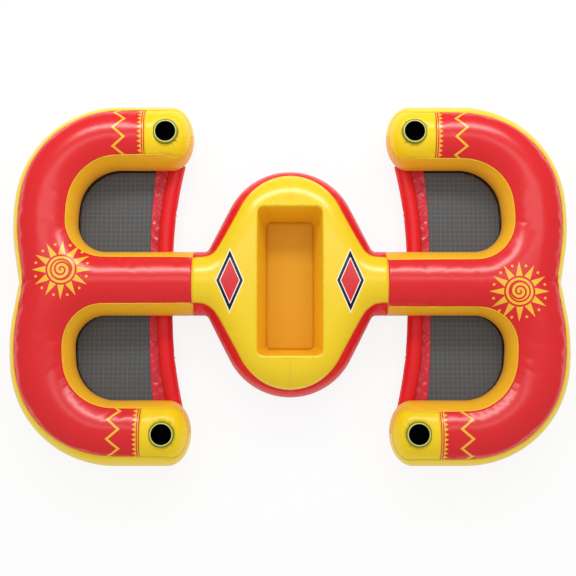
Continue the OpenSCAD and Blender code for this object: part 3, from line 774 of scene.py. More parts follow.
def body_skin(s, b):
    """The closed skin of the centre module, with the walls of its well."""
    side, end_r, end = body_plan(b)
    height = axis_height(s)
    top, low = height + s.radius, height - s.radius
    flare = Vector((-b.neck_line, b.flare))
    obj = half_ring("centre_skin", (-s.weld_line, 0), 0, s.radius, height)
    straight(0, s.weld_line - b.neck_line)
    turn(flare, b.flare_turn, b.flare)
    straight(b.flare_turn, side)
    turn(end, -2 * b.flare_turn, end_r + s.radius / 2)
    straight(-b.flare_turn, side)
    turn((-flare.x, flare.y), b.flare_turn, b.flare)
    straight(0, s.weld_line - b.neck_line)
    weld_points(0.0002)
    # The first points of each flare lie almost on the middle line, and are put on it
    pick(obj, lambda v: abs(abs(v.co.z - height) - s.radius) < 1e-4 and v.co.y < 0.0045)
    bpy.ops.transform.resize(value=(1, 0, 1), center_override=(0, 0, 0))
    half_w, half_l, r = b.well_width / 2, b.well_length / 2, b.well_corner
    # The well's corners reach a little past the line of the edge tube's top
    if pick(obj, lambda f: f.calc_center_median().z > top - 0.005
            and abs(f.calc_center_median().x) < half_w + 0.012
            and f.calc_center_median().y < half_l + 0.012, "FACE"):
        bpy.ops.mesh.delete(type="FACE")
    bpy.ops.mesh.select_mode(type="VERT")
    # Half the well's rim, and then its walls down to the ground
    lone_vert((half_w, 0, top))
    straight(pi / 2, half_l - r)
    turn((half_w - r, half_l - r), pi / 2, r, 0.007)
    straight(pi, 2 * (half_w - r))
    turn((r - half_w, half_l - r), pi / 2, r, 0.007)
    straight(-pi / 2, half_l - r)
    weld_points(0.0002)
    in_well = lambda e: all(abs(v.co.x) < half_w + NEAR and v.co.y < half_l + NEAR for v in e.verts)
    pick(obj, lambda e: e.is_wire and in_well(e), "EDGE")
    levels = [top] + [b.well_floor + (top - b.well_floor) * k / 20 for k in range(19, -1, -1)]
    levels += [b.well_floor + (low - b.well_floor) * k / 5 for k in range(1, 6)]
    for above, below in zip(levels, levels[1:]):
        bpy.ops.mesh.extrude_region_move(TRANSFORM_OT_translate={"value": (0, 0, below - above)})
        shift = well_inset(b, above) - well_inset(b, below)
        was_w, was_l = half_w - well_inset(b, above), half_l - well_inset(b, above)
        bpy.ops.transform.resize(value=(1 + shift / was_w, 1 + shift / was_l, 1),
                                 center_override=(0, 0, 0))
    for z in (top, low):
        inner = half_w - well_inset(b, z)
        mesh = bmesh.from_edit_mesh(obj.data)
        on_line = [v.co.x for v in mesh.verts
                   if abs(v.co.y) < 1e-5 and abs(v.co.z - z) < 1e-4 and abs(v.co.x) > inner + NEAR]
        neck = min(abs(x) for x in on_line)
        for m in (-1, 1):
            a, c = Vector((m * neck, 0, z)), Vector((m * inner, 0, z))
            join_points(obj, a, c, round((a - c).length / CELL) - 1)
        fill_loop(obj, lambda e: all(abs(v.co.z - z) < 0.007 and abs(v.co.x) < neck + NEAR
                                     for v in e.verts), CELL)
    mirror_north(obj)
    for m in (-1, 1):
        pick(obj, lambda e: e.is_boundary and all(abs(v.co.x - m * s.weld_line) < 1e-4 for v in e.verts),
             "EDGE")
        bpy.ops.mesh.edge_face_add()
    leave()
    outward(obj)
    return obj


def body_panel_name(s, b, point):
    """The panel that covers this place on the centre module."""
    height = axis_height(s)
    rise = seam_rise(s)
    if abs(point.x) > s.weld_line - 1e-4:
        return "bulkhead"
    r = b.well_corner
    past_x, past_y = abs(point.x) - b.well_width / 2 + r, abs(point.y) - b.well_length / 2 + r
    in_well = hypot(max(0, past_x), max(0, past_y)) < r and past_x < r and past_y < r
    if in_well and height - s.radius + 1e-4 < point.z < height + s.radius - 1e-4:
        return "well_wall"
    if point.z > height + rise:
        return "centre_top_panel"
    if point.z < height - rise:
        return "centre_bottom_panel"
    return "centre_north_wall" if point.y > 0 else "centre_south_wall"


class LOUNGE_OT_centre_module(Operator):
    """Inflates the centre module round its well, and lays the well's floor"""
    bl_idname = "lounge.centre_module"
    bl_label = "Centre module"

    def execute(self, context):
        scene = context.scene
        s, b, air = scene.lounge_tubes, scene.lounge_body, scene.lounge_air
        skin = body_skin(s, b)
        note_panels(skin, lambda p: body_panel_name(s, b, p))
        half_w, half_l = b.well_width / 2, b.well_length / 2
        write_attribute(skin, "seam_distance", "FLOAT", lambda p: seam_distance(s, p))
        at_seam = seam_test(s, skin)

        def shift(p, out):
            if abs(p.x) < half_w + 0.005 and abs(p.y) < half_l + 0.005:
                return 0
            at_neck = step_between(abs(p.x), 0.3, 0.46)
            end = radians(8.5) * out.y ** 2 - radians(2.5) * (1 - out.y ** 2)
            return end * (1 - at_neck) + at_neck * seam_roll(out)
        roll_seams(skin, s.radius, shift)
        write_attribute(skin, "cut_place", "FLOAT_VECTOR", Vector)
        home = [v.co.copy() for v in skin.data.vertices]

        def held(v):
            at_weld = abs(v.co.x) > s.weld_line - 1e-4
            return at_weld or (abs(v.co.x) < half_w + 1e-4 and abs(v.co.y) < half_l + 1e-4)
        inflate(skin, held, at_seam, air)
        valve, valve_axis = valve_places()["centre_valve_cap"]

        def free(p):
            web = 1 - 0.9 * step_between(CREASE_HALF - abs(p.x), 0, CREASE_HALF) if abs(p.y) > half_l else 1
            rim = hypot(max(0, abs(p.x) - half_w), max(0, abs(p.y) - half_l))
            return web * step_between(rim, 0, 0.07) * freedom(s, air, p, valve)
        settle(skin, home, air.most, free)
        # The inner web pulls a shallow crease into each round end
        for v in skin.data.vertices:
            past = abs(v.co.y) - half_l
            if past > 0 and v.co.z > s.radius:
                across = fade((v.co.x / CREASE_HALF) ** 2, 1)
                v.co.z -= CREASE_DEPTH * across * step_between(past, 0.01, 0.04)
        cut_hole(skin, valve, valve_axis, VALVE_HOLE)
        walls = ("centre_north_wall", "centre_south_wall")
        beads = seam_beads(skin, "centre_seams", walls)
        beads.data.materials.append(finish("centre_seam"))
        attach(beads, BODY)
        for name, piece in part_panels(skin, ("bulkhead",)).items():
            finish_film(piece, name)
        self.lay_floor(b)
        return {"FINISHED"}

    def lay_floor(self, b):
        """The well's floor: a sheet welded to the walls, a little crowned by the air below."""
        inset = well_inset(b, b.well_floor)
        half_w, half_l = b.well_width / 2 - inset, b.well_length / 2 - inset
        bpy.ops.object.select_all(action="DESELECT")
        bpy.ops.mesh.primitive_grid_add(x_subdivisions=16, y_subdivisions=40, size=2,
                                        location=(0, 0, b.well_floor))
        obj = bpy.context.object
        obj.name = "well_floor_film"
        bpy.ops.transform.resize(value=(half_w, half_l, 1))
        place_mesh()
        for v in obj.data.vertices:
            x, y = v.co.x / half_w, v.co.y / half_l
            v.co.z += 0.004 * (1 - x * x) * (1 - y ** 4) - 0.002
        write_attribute(obj, "cut_place", "FLOAT_VECTOR", Vector)
        write_attribute(obj, "seam_distance", "FLOAT",
                        lambda p: min(half_w - abs(p.x), half_l - abs(p.y)))
        finish_film(obj, "well_floor")


# ---------- seats ----------

def seat_path(s, margin, front, cell=CELL):
    """Sweeps what is selected beside the tubes, from the outer arm round to the centre arm."""
    back, corner, corner_r, fillet = seat_plan(s)[:4]
    straight(pi, -corner.x - front, cell)
    turn(corner, pi / 2 - s.corner_rest, corner_r - margin, cell)
    turn(back, s.corner_rest, s.back_curve - margin, cell)
    turn(fillet, pi / 2, s.lobe - margin, cell)
    straight(0, -fillet.x - front, cell)


def copies_of(piece, name_for):
    """Puts a copy of a north-west piece in the other three quarters, each with its own mesh."""
    made = {"nw": piece}
    for quarter, scale in {"ne": (-1, 1, 1), "sw": (1, -1, 1), "se": (-1, -1, 1)}.items():
        activate(piece)
        bpy.ops.object.duplicate(linked=False)
        copy = bpy.context.object
        bpy.ops.transform.resize(value=scale, center_override=(0, 0, 0))
        place_mesh()
        copy.name = copy.data.name = name_for(quarter)
        if scale[0] * scale[1] < 0:
            outward(copy)
        made[quarter] = copy
    return made


class LOUNGE_OT_mesh_seats(Operator):
    """Stretches the four mesh seats in their hems"""
    bl_idname = "lounge.mesh_seats"
    bl_label = "Mesh seats"

    def execute(self, context):
        s, seat = context.scene.lounge_tubes, context.scene.lounge_seats
        hems = copies_of(self.hem(s, seat), lambda q: q + "_hem")
        for quarter, hem in hems.items():
            dress(hem, quarter + "_seat_hem")
        sheet, cut_area = self.mesh(s, seat)
        for quarter, piece in copies_of(sheet, lambda q: q + "_seat_sheet").items():
            dress(piece, quarter + "_mesh_seat")
        return {"FINISHED"}

    def hem(self, s, seat):
        """A flat strip welded to the tubes, swept round the seat, a little wavy like pulled film."""
        reach = (s.radius ** 2 - (seat.mesh_height - s.radius + s.sag) ** 2) ** 0.5
        inner, outer = seat.hem_edge, reach + 0.001
        bpy.ops.object.select_all(action="DESELECT")
        bpy.ops.mesh.primitive_circle_add(
            vertices=16, radius=1, rotation=(0, pi / 2, 0),
            location=(TUCK - seat.mesh_front, s.arm_line - (inner + outer) / 2, seat.mesh_height))
        obj = bpy.context.object
        obj.name = "nw_hem"
        bpy.ops.transform.resize(value=(1, (inner - outer) / 2, 0.0016))
        place_mesh()
        edit(obj)
        everything()
        seat_path(s, (inner + outer) / 2, seat.mesh_front - TUCK)
        pick(obj, lambda e: e.is_boundary, "EDGE")
        bpy.ops.mesh.edge_face_add()
        mesh = bmesh.from_edit_mesh(obj.data)
        for v in mesh.verts:
            v.co.z += 0.0012 * sin(v.co.x * 95) * sin(v.co.y * 83)
        bmesh.update_edit_mesh(obj.data)
        leave()
        outward(obj)
        smooth(obj, radians(50))
        return obj

    def mesh(self, s, seat):
        """The seat's mesh: a flat cut that sags a little towards its middle."""
        margin = seat.hem_edge - 0.006
        front = seat.mesh_front - TUCK
        start = Vector((-front, s.arm_line - margin, seat.mesh_height))
        obj = start_mesh("nw_seat_sheet", bpy.ops.mesh.primitive_plane_add, size=0.01, location=start)
        edit(obj)
        everything()
        bpy.ops.mesh.merge(type="CENTER")
        seat_path(s, margin, front, 0.012)
        weld_points(0.0004)
        end = Vector((-front, margin, seat.mesh_height))
        join_points(obj, start, end, 32)
        fill_loop(obj, lambda e: True, 0.012)
        mesh = bmesh.from_edit_mesh(obj.data)
        area = sum(f.calc_area() for f in mesh.faces)
        rim = [v.co.copy() for v in mesh.verts if v.is_boundary]
        for v in mesh.verts:
            inward = min((v.co - r).length for r in rim)
            v.co.z -= seat.sag * (1 - fade(inward, 0.06))
        bmesh.update_edit_mesh(obj.data)
        leave()
        outward(obj)
        apply_modifier(obj, "SOLIDIFY", thickness=0.0012, offset=0)
        smooth(obj)
        return obj, area


class LOUNGE_OT_front_tubes(Operator):
    """Inflates the small front tubes, with the thin film that ties each to its mesh seat"""
    bl_idname = "lounge.front_tubes"
    bl_label = "Front tubes"

    def execute(self, context):
        scene = context.scene
        s, seat, air = scene.lounge_tubes, scene.lounge_seats, scene.lounge_air
        tube = self.tube(s, seat, air)
        for quarter, piece in copies_of(tube, lambda q: q + "_front_air_tube").items():
            dress(piece, quarter + "_front_tube")
        film = self.film(s, seat)
        for quarter, piece in copies_of(film, lambda q: q + "_front_film").items():
            dress(piece, quarter + "_front_flange")
        return {"FINISHED"}

    def bow(self, s, seat, y):
        """Where the front tube's axis crosses this line across the lounge."""
        return -seat.tube_line + seat.tube_bow - (seat.tube_bow ** 2 - (y - s.radius) ** 2) ** 0.5

    def tube(self, s, seat, air):
        """A slim bowed tube with closed ends, blown up like the large ones."""
        first, last = 0.118, s.arm_line - 0.118
        centre = Vector((-seat.tube_line + seat.tube_bow, s.radius))
        start_a = asin((last - s.radius) / seat.tube_bow)
        end_a = asin((first - s.radius) / seat.tube_bow)
        place = (self.bow(s, seat, last), last, seat.tube_height)
        obj = start_mesh("nw_front_air_tube", bpy.ops.mesh.primitive_circle_add, vertices=36,
                         radius=seat.tube_radius, location=place, rotation=(pi / 2, 0, -start_a))
        edit(obj)
        everything()
        turn(centre, start_a - end_a, seat.tube_bow, 0.0085)
        weld_points(0.0002)
        for end in (first, last):
            pick(obj, lambda e: e.is_boundary and all(abs(v.co.y - end) < 0.03 for v in e.verts), "EDGE")
            bpy.ops.mesh.edge_face_add()
        leave()
        outward(obj)
        write_attribute(obj, "cut_place", "FLOAT_VECTOR", Vector)
        write_attribute(obj, "seam_distance", "FLOAT", lambda p: abs(p.z - seat.tube_height))
        home = [v.co.copy() for v in obj.data.vertices]
        inflate(obj, lambda v: min(v.co.y - first, last - v.co.y) < 0.012,
                lambda v: abs(v.co.z - seat.tube_height) < 1e-3, air)
        valve, valve_axis = valve_places()["nw_front_cap"]
        settle(obj, home, 0.004, lambda p: step_between((p - valve).length, 0.02, 0.05))
        cut_hole(obj, valve, valve_axis, FRONT_VALVE_HOLE, 0.02)
        apply_modifier(obj, "SOLIDIFY", thickness=FILM, offset=-1)
        smooth(obj)
        return obj

    def film(self, s, seat):
        """A thin wrinkled film from the mesh's front edge to the side of the tube."""
        first, last = 0.142, s.arm_line - 0.142
        bpy.ops.object.select_all(action="DESELECT")
        bpy.ops.mesh.primitive_grid_add(x_subdivisions=22, y_subdivisions=150, size=1, location=(0, 0, 0))
        obj = bpy.context.object
        obj.name = "nw_front_film"
        for v in obj.data.vertices:
            across, along = v.co.x + 0.5, v.co.y + 0.5
            y = first + along * (last - first)
            edge = self.bow(s, seat, y) - seat.tube_radius + 0.004
            start = -seat.mesh_front - 0.004 + 0.45 * (self.bow(s, seat, y) + seat.tube_line)
            x = start + across * (edge - start)
            pull = sin(pi * min(1, max(0, across))) ** 0.7
            wrinkle = (sin(70 * x + 62 * y + 2.2 * sin(23 * y)) + 0.6 * sin(95 * x - 71 * y + 2 * sin(31 * y))
                       + 0.3 * sin(150 * y + 110 * x))
            v.co = (x, y, seat.mesh_height + 0.0025 + pull * (0.0026 * wrinkle + 0.001))
        write_attribute(obj, "cut_place", "FLOAT_VECTOR", Vector)
        write_attribute(obj, "seam_distance", "FLOAT", lambda p: p.x + seat.mesh_front)
        apply_modifier(obj, "SOLIDIFY", thickness=0.0007, offset=0)
        smooth(obj)
        return obj


# ---------- cup holders ----------

def turned(name, stations, place, around=64):
    """A closed solid of revolution about the vertical through place, from (radius, height) pairs."""
    obj = start_mesh(name, bpy.ops.mesh.primitive_circle_add, vertices=around, radius=stations[0][0],
                     location=(place[0], place[1], stations[0][1]))
    edit(obj)
    everything()
    ring = list(stations) + [stations[0]]
    for (r0, z0), (r1, z1) in zip(ring, ring[1:]):
        bpy.ops.mesh.extrude_region_move(TRANSFORM_OT_translate={"value": (0, 0, z1 - z0)})
        bpy.ops.transform.resize(value=(r1 / r0, r1 / r0, 1), center_override=(place[0], place[1], z1))
    weld_points(0.00005)
    # A station on the axis becomes one point
    if pick(obj, lambda v: (flat(v.co) - flat(place)).length < 0.0008):
        bpy.ops.mesh.remove_doubles(threshold=0.0017)
        everything()
        bpy.ops.mesh.delete_loose(use_verts=False, use_edges=True, use_faces=False)
    leave()
    outward(obj)
    return obj


class LOUNGE_OT_cup_holders(Operator):
    """Models the four cup holders and the rings that weld them into the end patches"""
    bl_idname = "lounge.cup_holders"
    bl_label = "Cup holders"

    def execute(self, context):
        s = context.scene.lounge_tubes
        place = ((CUP_LOW.x + CUP_HIGH.x) / 2, s.arm_line)
        for quarter, piece in copies_of(self.cup(place), lambda q: q + "_drink_cup").items():
            dress(piece, quarter + "_cup")
        for quarter, piece in copies_of(self.ring(place), lambda q: q + "_weld_ring").items():
            dress(piece, quarter + "_cup_ring")
        return {"FINISHED"}

    def cup(self, place):
        """A moulded cup: rolled lip, straight wall with ribs inside, and a flat closed floor."""
        lip, top, low = (CUP_HIGH.x - CUP_LOW.x) / 2, CUP_HIGH.z, CUP_LOW.z
        bore, wall = lip - 0.006, 0.0025
        inner = [(lip - 0.0008, top - 0.0012), (lip - 0.002, top), (bore + 0.002, top), (bore, top - 0.002)]
        steps = 24
        for k in range(1, steps):
            z = top - 0.006 - (top - low - 0.02) * k / steps
            rib = 0.0008 if k % 6 in (0, 1) else 0
            inner.append((bore - rib, z))
        inner += [(bore - 0.002, low + 0.008), (bore - 0.008, low + wall + 0.001), (0.016, low + wall),
                  (0.0007, low + wall)]
        outer = [(0.0007, low), (bore - 0.008, low), (bore + wall - 0.002, low + 0.006),
                 (bore + wall, low + 0.012), (bore + wall, top - 0.0045), (lip - 0.001, top - 0.004)]
        obj = turned("nw_drink_cup", inner + outer, place)
        smooth(obj, radians(40))
        return obj

    def ring(self, place):
        """The weld ring: a rounded lip, with a thin foot that falls a little towards its rim."""
        high, out, base = RING_HIGH.z, (RING_HIGH.x - RING_LOW.x) / 2, RING_LOW.z + 0.0015
        round_r, steps = 0.003, 8
        arc = [pi * k / steps for k in range(steps + 1)]
        lip = [(0.0515, base)]
        lip += [(0.0545 - round_r * cos(a), high - round_r + round_r * sin(a)) for a in arc]
        foot = [(0.0582, high - 0.0042), (out - 0.0016, high - 0.0046), (out, high - 0.0062), (out, base)]
        obj = turned("nw_weld_ring", lip + foot, place, 96)
        write_attribute(obj, "from_axis", "FLOAT", lambda p: (flat(p) - flat(place)).length)
        smooth(obj, radians(50))
        return obj


# ---------- materials ----------

def srgb(hex_code):
    """An sRGB hex colour as linear RGBA."""
    channels = [int(hex_code.lstrip("#")[i:i + 2], 16) / 255 for i in (0, 2, 4)]
    return [c / 12.92 if c <= 0.04045 else ((c + 0.055) / 1.055) ** 2.4 for c in channels] + [1]


def put(tree, kind, inputs=None, out=0, **settings):
    """Adds a node with its settings, values and links, and returns one of its outputs."""
    node = tree.nodes.new(kind)
    for key, value in settings.items():
        setattr(node, key, value)
    for key, value in (inputs or {}).items():
        if isinstance(value, bpy.types.NodeSocket):
            tree.links.new(value, node.inputs[key])
        else:
            node.inputs[key].default_value = value
    return node.outputs[out]


def calc(tree, formula, **values):
    """Builds the Math nodes of a short formula in prefix form, such as ("MULTIPLY", "x", 2)."""
    if isinstance(formula, str):
        return values[formula]
    if not isinstance(formula, tuple):
        return formula
    inputs = {i: calc(tree, part, **values) for i, part in enumerate(formula[1:])}
    return put(tree, "ShaderNodeMath", inputs, operation=formula[0])


def start_material(name, looks):
    """A new material, its node tree, and its shader with these inputs set."""
    material = bpy.data.materials.new(name)
    material.use_nodes = True
    tree = material.node_tree
    shader = next(n for n in tree.nodes if n.type == "BSDF_PRINCIPLED")
    for key, value in looks.items():
        shader.inputs[key].default_value = value
    return material, tree, shader


def noise(tree, scale, detail):
    """Soft noise that is fixed to the object."""
    place = put(tree, "ShaderNodeTexCoord", out="Object")
    return put(tree, "ShaderNodeTexNoise", {"Vector": place, "Scale": scale, "Detail": detail}, out="Fac")


def blend(tree, share, first, second):
    """The first colour where the share is 0, and the second where it is 1."""
    return put(tree, "ShaderNodeMix", {0: share, 6: first, 7: second}, out=2, data_type="RGBA")


def relief(tree, shader, height, strength):
    """Gives the surface a relief of this height in metres."""
    bump = put(tree, "ShaderNodeBump", {"Height": height, "Distance": 1.0, "Strength": strength})
    tree.links.new(bump, shader.inputs["Normal"])


def film_relief(tree, shader, depth=0.0006, pucker=0.0016):
    """Relief of welded PVC film: soft waves all over, and puckers that run out from each seam."""
    seam = put(tree, "ShaderNodeAttribute", out="Fac", attribute_name="seam_distance")
    waves, fine = noise(tree, 9.0, 1.0), noise(tree, 55.0, 2.0)
    near_seam = calc(tree, ("POWER", 2.718, ("MULTIPLY", "s", -45.0)), s=seam)
    rough_height = calc(tree, ("ADD", ("MULTIPLY", "w", depth), ("MULTIPLY", ("MULTIPLY", "f", "n"), pucker)),
                        w=waves, f=fine, n=near_seam)
    weld = calc(tree, ("MULTIPLY", ("LESS_THAN", "s", 0.006), 0.0004), s=seam)
    height = calc(tree, ("SUBTRACT", "h", "w"), h=rough_height, w=weld)
    relief(tree, shader, height, 0.7)


def film_colour(tree, colour, shade=0.06):
    """The film's colour, with the faint clouding of a calendered and printed sheet."""
    darker = [c * (1 - shade) for c in srgb(colour)[:3]] + [1]
    return blend(tree, noise(tree, 3.0, 2.0), darker, srgb(colour))


def over(tree, base, colour, mask):
    """Prints a colour over another where the mask is 1."""
    return blend(tree, mask, base, srgb(colour))


def film_material(name, colour, roughness=0.27, gloss=0.5, prints=None):
    """Plasticised PVC film, calendered smooth: even colour and a broad soft gloss. Flat screen prints
    are laid out on the flat cut of each panel."""
    material, tree, shader = start_material(
        name, {"Roughness": roughness, "IOR": PVC_IOR, "Specular IOR Level": gloss})
    tint = film_colour(tree, colour)
    if prints:
        cut = put(tree, "ShaderNodeAttribute", out="Vector", attribute_name="cut_place")
        x, y, arc = put(tree, "ShaderNodeSeparateXYZ", {0: cut}).node.outputs
        for ink, mask in prints(tree, x, y, arc):
            tint = over(tree, tint, ink, mask)
    tree.links.new(tint, shader.inputs["Base Color"])
    film_relief(tree, shader)
    return material


def arm_bands(tree, x, y, arc):
    """Mask of the bands round each outer arm: a zigzag, a row of teeth and a thin line."""
    along = calc(tree, ("ABSOLUTE", "x"), x=x)
    # Zigzag: 98 mm from turn to like turn round the tube, 56 mm wide at its line's middle
    half_turn, reach = 0.049, 0.905
    ramp = calc(tree, ("PINGPONG", ("ADD", "a", 0.566), half_turn), a=arc)
    line = calc(tree, ("ADD", ("MULTIPLY", "r", -1.15), reach), r=ramp)
    zigzag = calc(tree, ("LESS_THAN", ("ABSOLUTE", ("SUBTRACT", "x", "l")), 0.0085), x=along, l=line)
    # Teeth beside the end patch, 25 mm apart, and the thin line between them and it
    patch_edge = bpy.context.scene.lounge_tubes.patch_edge
    back_from = calc(tree, ("SUBTRACT", "x", patch_edge), x=along)
    tooth = calc(tree, ("LESS_THAN", ("PINGPONG", ("ADD", "a", 0.5), 0.0125),
                        ("MULTIPLY", ("SUBTRACT", 0.037, "d"), 0.6)), a=arc, d=back_from)
    teeth = calc(tree, ("MULTIPLY", "t", ("GREATER_THAN", "d", 0.016)), t=tooth, d=back_from)
    stripe = calc(tree, ("COMPARE", "d", 0.0075, 0.0022), d=back_from)
    on_arms = calc(tree, ("MULTIPLY", ("GREATER_THAN", ("ABSOLUTE", "y"), 0.5), ("LESS_THAN", "x", 0.95)),
                   y=y, x=along)
    return calc(tree, ("MULTIPLY", "m", ("MAXIMUM", "z", ("MAXIMUM", "t", "s"))),
                m=on_arms, z=zigzag, t=teeth, s=stripe)


def back_sun(tree, x, y):
    """Mask of the sun on the back: a spiral in a ring, and pointed rays with a dot between each two."""
    middle_x, middle_y, ray_count = -1.149, 0.055, 12
    half_ray = pi / ray_count
    dx = calc(tree, ("SUBTRACT", "x", middle_x), x=x)
    dy = calc(tree, ("SUBTRACT", "y", middle_y), y=y)
    r = calc(tree, ("SQRT", ("ADD", ("MULTIPLY", "a", "a"), ("MULTIPLY", "b", "b"))), a=dx, b=dy)
    angle = calc(tree, ("ARCTAN2", "b", "a"), a=dx, b=dy)
    ray = calc(tree, ("PINGPONG", ("ADD", "t", 2 * pi), half_ray), t=angle)
    ray_wide = calc(tree, ("LESS_THAN", ("MULTIPLY", "p", "r"), ("MULTIPLY", ("SUBTRACT", 0.15, "r"), 0.24)),
                    p=ray, r=r)
    rays = calc(tree, ("MULTIPLY", "w", ("GREATER_THAN", "r", 0.078)), w=ray_wide, r=r)
    ring = calc(tree, ("COMPARE", "r", 0.062, 0.006), r=r)
    phase = calc(tree, ("FRACT", ("ADD", ("MULTIPLY", "r", 42.0), ("DIVIDE", "t", 2 * pi))), r=r, t=angle)
    spiral = calc(tree, ("MULTIPLY", ("LESS_THAN", "f", 0.58), ("LESS_THAN", "r", 0.047)), f=phase, r=r)
    dot_across = calc(tree, ("MULTIPLY", ("SUBTRACT", half_ray, "p"), "r"), p=ray, r=r)
    dot_out = calc(tree, ("SUBTRACT", "r", 0.132), r=r)
    dots = calc(tree, ("LESS_THAN", ("ADD", ("MULTIPLY", "a", "a"), ("MULTIPLY", "b", "b")), 0.000042),
                a=dot_across, b=dot_out)
    return calc(tree, ("MAXIMUM", ("MAXIMUM", "a", "b"), ("MAXIMUM", "c", "d")),
                a=rays, b=ring, c=spiral, d=dots)


def red_prints(tree, x, y, arc):
    """Yellow bands on the arms and a yellow sun on the back."""
    both = calc(tree, ("MAXIMUM", "b", "s"), b=arm_bands(tree, x, y, arc), s=back_sun(tree, x, y))
    return [("#FBC62C", both)]


def yellow_prints(tree, x, y, arc):
    """A plain bordered lozenge on each side of the well."""
    off_middle, half_wide, half_long = 0.303, 0.072, 0.165
    dx = calc(tree, ("ABSOLUTE", ("SUBTRACT", ("ABSOLUTE", "x"), off_middle)), x=x)
    dy = calc(tree, ("ABSOLUTE", "y"), y=y)
    size = calc(tree, ("ADD", ("DIVIDE", "a", half_wide), ("DIVIDE", "b", half_long)), a=dx, b=dy)
    layers = (("#FFFFFF", 1.0), ("#15130F", 0.93), ("#FFFFFF", 0.72), ("#E32027", 0.66))
    return [(ink, calc(tree, ("LESS_THAN", "s", edge), s=size)) for ink, edge in layers]


def ring_material(colour):
    """Clear-yellowed PVC weld ring: a pale rounded lip on a flange painted dark olive, partly the darker
    welded film and partly painted shade of the crease round the ring.
    """
    material, tree, shader = start_material("weld ring", {"Roughness": 0.2})
    out = put(tree, "ShaderNodeAttribute", out="Fac", attribute_name="from_axis")
    # The flange is painted dark olive: the welded film, and painted shade of the crease round the ring
    flange = calc(tree, ("GREATER_THAN", "r", 0.0578), r=out)
    tree.links.new(over(tree, film_colour(tree, colour), "#7F8412", flange), shader.inputs["Base Color"])
    return material


def mesh_material(colour):
    """Coated polyester mesh: a plain weave of matt yarns, with a heavier yarn every 25 mm. The weave
    is drawn at 5 mm, coarser than the real 2 mm, so that it shows."""
    material, tree, shader = start_material("seat mesh", {"Roughness": 0.62})
    place = put(tree, "ShaderNodeTexCoord", out="Object")
    x, y, _ = put(tree, "ShaderNodeSeparateXYZ", {0: place}).node.outputs
    yarn = ("ABSOLUTE", ("SINE", ("MULTIPLY", "p", pi / 0.005)))
    warp, weft = calc(tree, yarn, p=x), calc(tree, yarn, p=y)
    weave = calc(tree, ("MAXIMUM", "a", "b"), a=warp, b=weft)
    thick = ("LESS_THAN", ("PINGPONG", ("ADD", "p", 2.0), 0.0125), 0.0013)
    grid = calc(tree, ("MAXIMUM", "a", "b"), a=calc(tree, thick, p=x), b=calc(tree, thick, p=y))
    base = blend(tree, weave, srgb("#3A3C3D"), srgb(colour))
    base = over(tree, base, "#848787", calc(tree, ("MULTIPLY", "g", 0.4), g=grid))
    tree.links.new(base, shader.inputs["Base Color"])
    relief(tree, shader, calc(tree, ("MULTIPLY", "w", 0.0006), w=weave), 0.6)
    return material


def flange_material(colour):
    """Thin glossy PVC film, streaked and creased where it is pulled."""
    material, tree, shader = start_material("thin film", {"Roughness": 0.16, "IOR": PVC_IOR})
    streaks = noise(tree, 45.0, 3.0)
    tree.links.new(blend(tree, streaks, srgb("#C92B3A"), srgb(colour)), shader.inputs["Base Color"])
    relief(tree, shader, calc(tree, ("MULTIPLY", "s", 0.0006), s=streaks), 0.8)
    return material


def plastic_material(name, colour, roughness, grain, gloss=0.5):
    """Injection-moulded plastic with a fine spark-eroded grain."""
    material, tree, shader = start_material(name, {"Roughness": roughness, "Specular IOR Level": gloss})
    speck = noise(tree, grain, 2.0)
    darker = [c * 0.85 for c in srgb(colour)[:3]] + [1]
    tree.links.new(blend(tree, speck, darker, srgb(colour)), shader.inputs["Base Color"])
    relief(tree, shader, calc(tree, ("MULTIPLY", "s", 0.0002), s=speck), 0.5)
    return material


finish_cache = {}


def finish(name):
    """The material of this finish, made the first time it is asked for."""
    c = bpy.context.scene.lounge_colours
    films = {
        "red_printed": ("red printed film", c.red, 0.25, 0.9, red_prints),
        "yellow_printed": ("yellow printed film", c.yellow, 0.25, 0.9, yellow_prints),
        "red": ("red film", c.red, 0.27, 0.4),
        "yellow": ("yellow film", c.yellow),
        # Seat walls: the yellow film painted oranger, as painted shade
        "amber": ("amber film", c.amber, 0.32, 0.35),
        # The well's walls and floor are painted oranger and darker than the yellow top: painted shade of the
        # recess
        "well": ("well film", "#FFCA24", 0.34, 0.3),
        "well_floor": ("well floor film", "#EBAE2C", 0.5, 0.15),
        "inner": ("inner film", "#F0C050", 0.4),
        "seam": ("seam bead", "#FFDC3A", 0.3),
        "centre_seam": ("centre seam bead", "#F0342E", 0.3),
        # Hem: painted near black, as painted shade
        "hem": ("hem film", c.hem, 0.4),
    }
    others = {
        "mesh": lambda: mesh_material(c.mesh),
        "flange": lambda: flange_material(c.flange),
        "ring": lambda: ring_material(c.ring),
        "cup": lambda: plastic_material("cup plastic", c.cup, 0.9, 700.0, 0.1),
        "valve": lambda: plastic_material("valve plastic", c.valve, 0.35, 900.0),
    }
    if name not in finish_cache:
        finish_cache[name] = film_material(*films[name]) if name in films else others[name]()
    return finish_cache[name]


def node_finish(node):
    """The finish of each construction node, by the first part of a name that is found in its own."""
    rules = (
        ("front_tube_valves", "valve"),
        ("centre_top_panel", "yellow_printed"), ("top_panel", "red_printed"), ("bottom_panel", "red"),
        ("centre_north_wall", "red"), ("centre_south_wall", "red"), ("outer_wall", "yellow"),
        ("seat_wall", "amber"), ("end_patch", "yellow"), ("well_floor", "well_floor"), ("well_", "well"),
        ("bulkhead", "inner"), ("web", "inner"), ("cup_ring", "ring"), ("front_tube", "red"),
        ("front_flange", "flange"), ("mesh_seat", "mesh"), ("seat_hem", "hem"),
        ("valve", "valve"), ("cap", "valve"), ("cup", "cup"),
    )
    return next(name for part, name in rules if part in node)


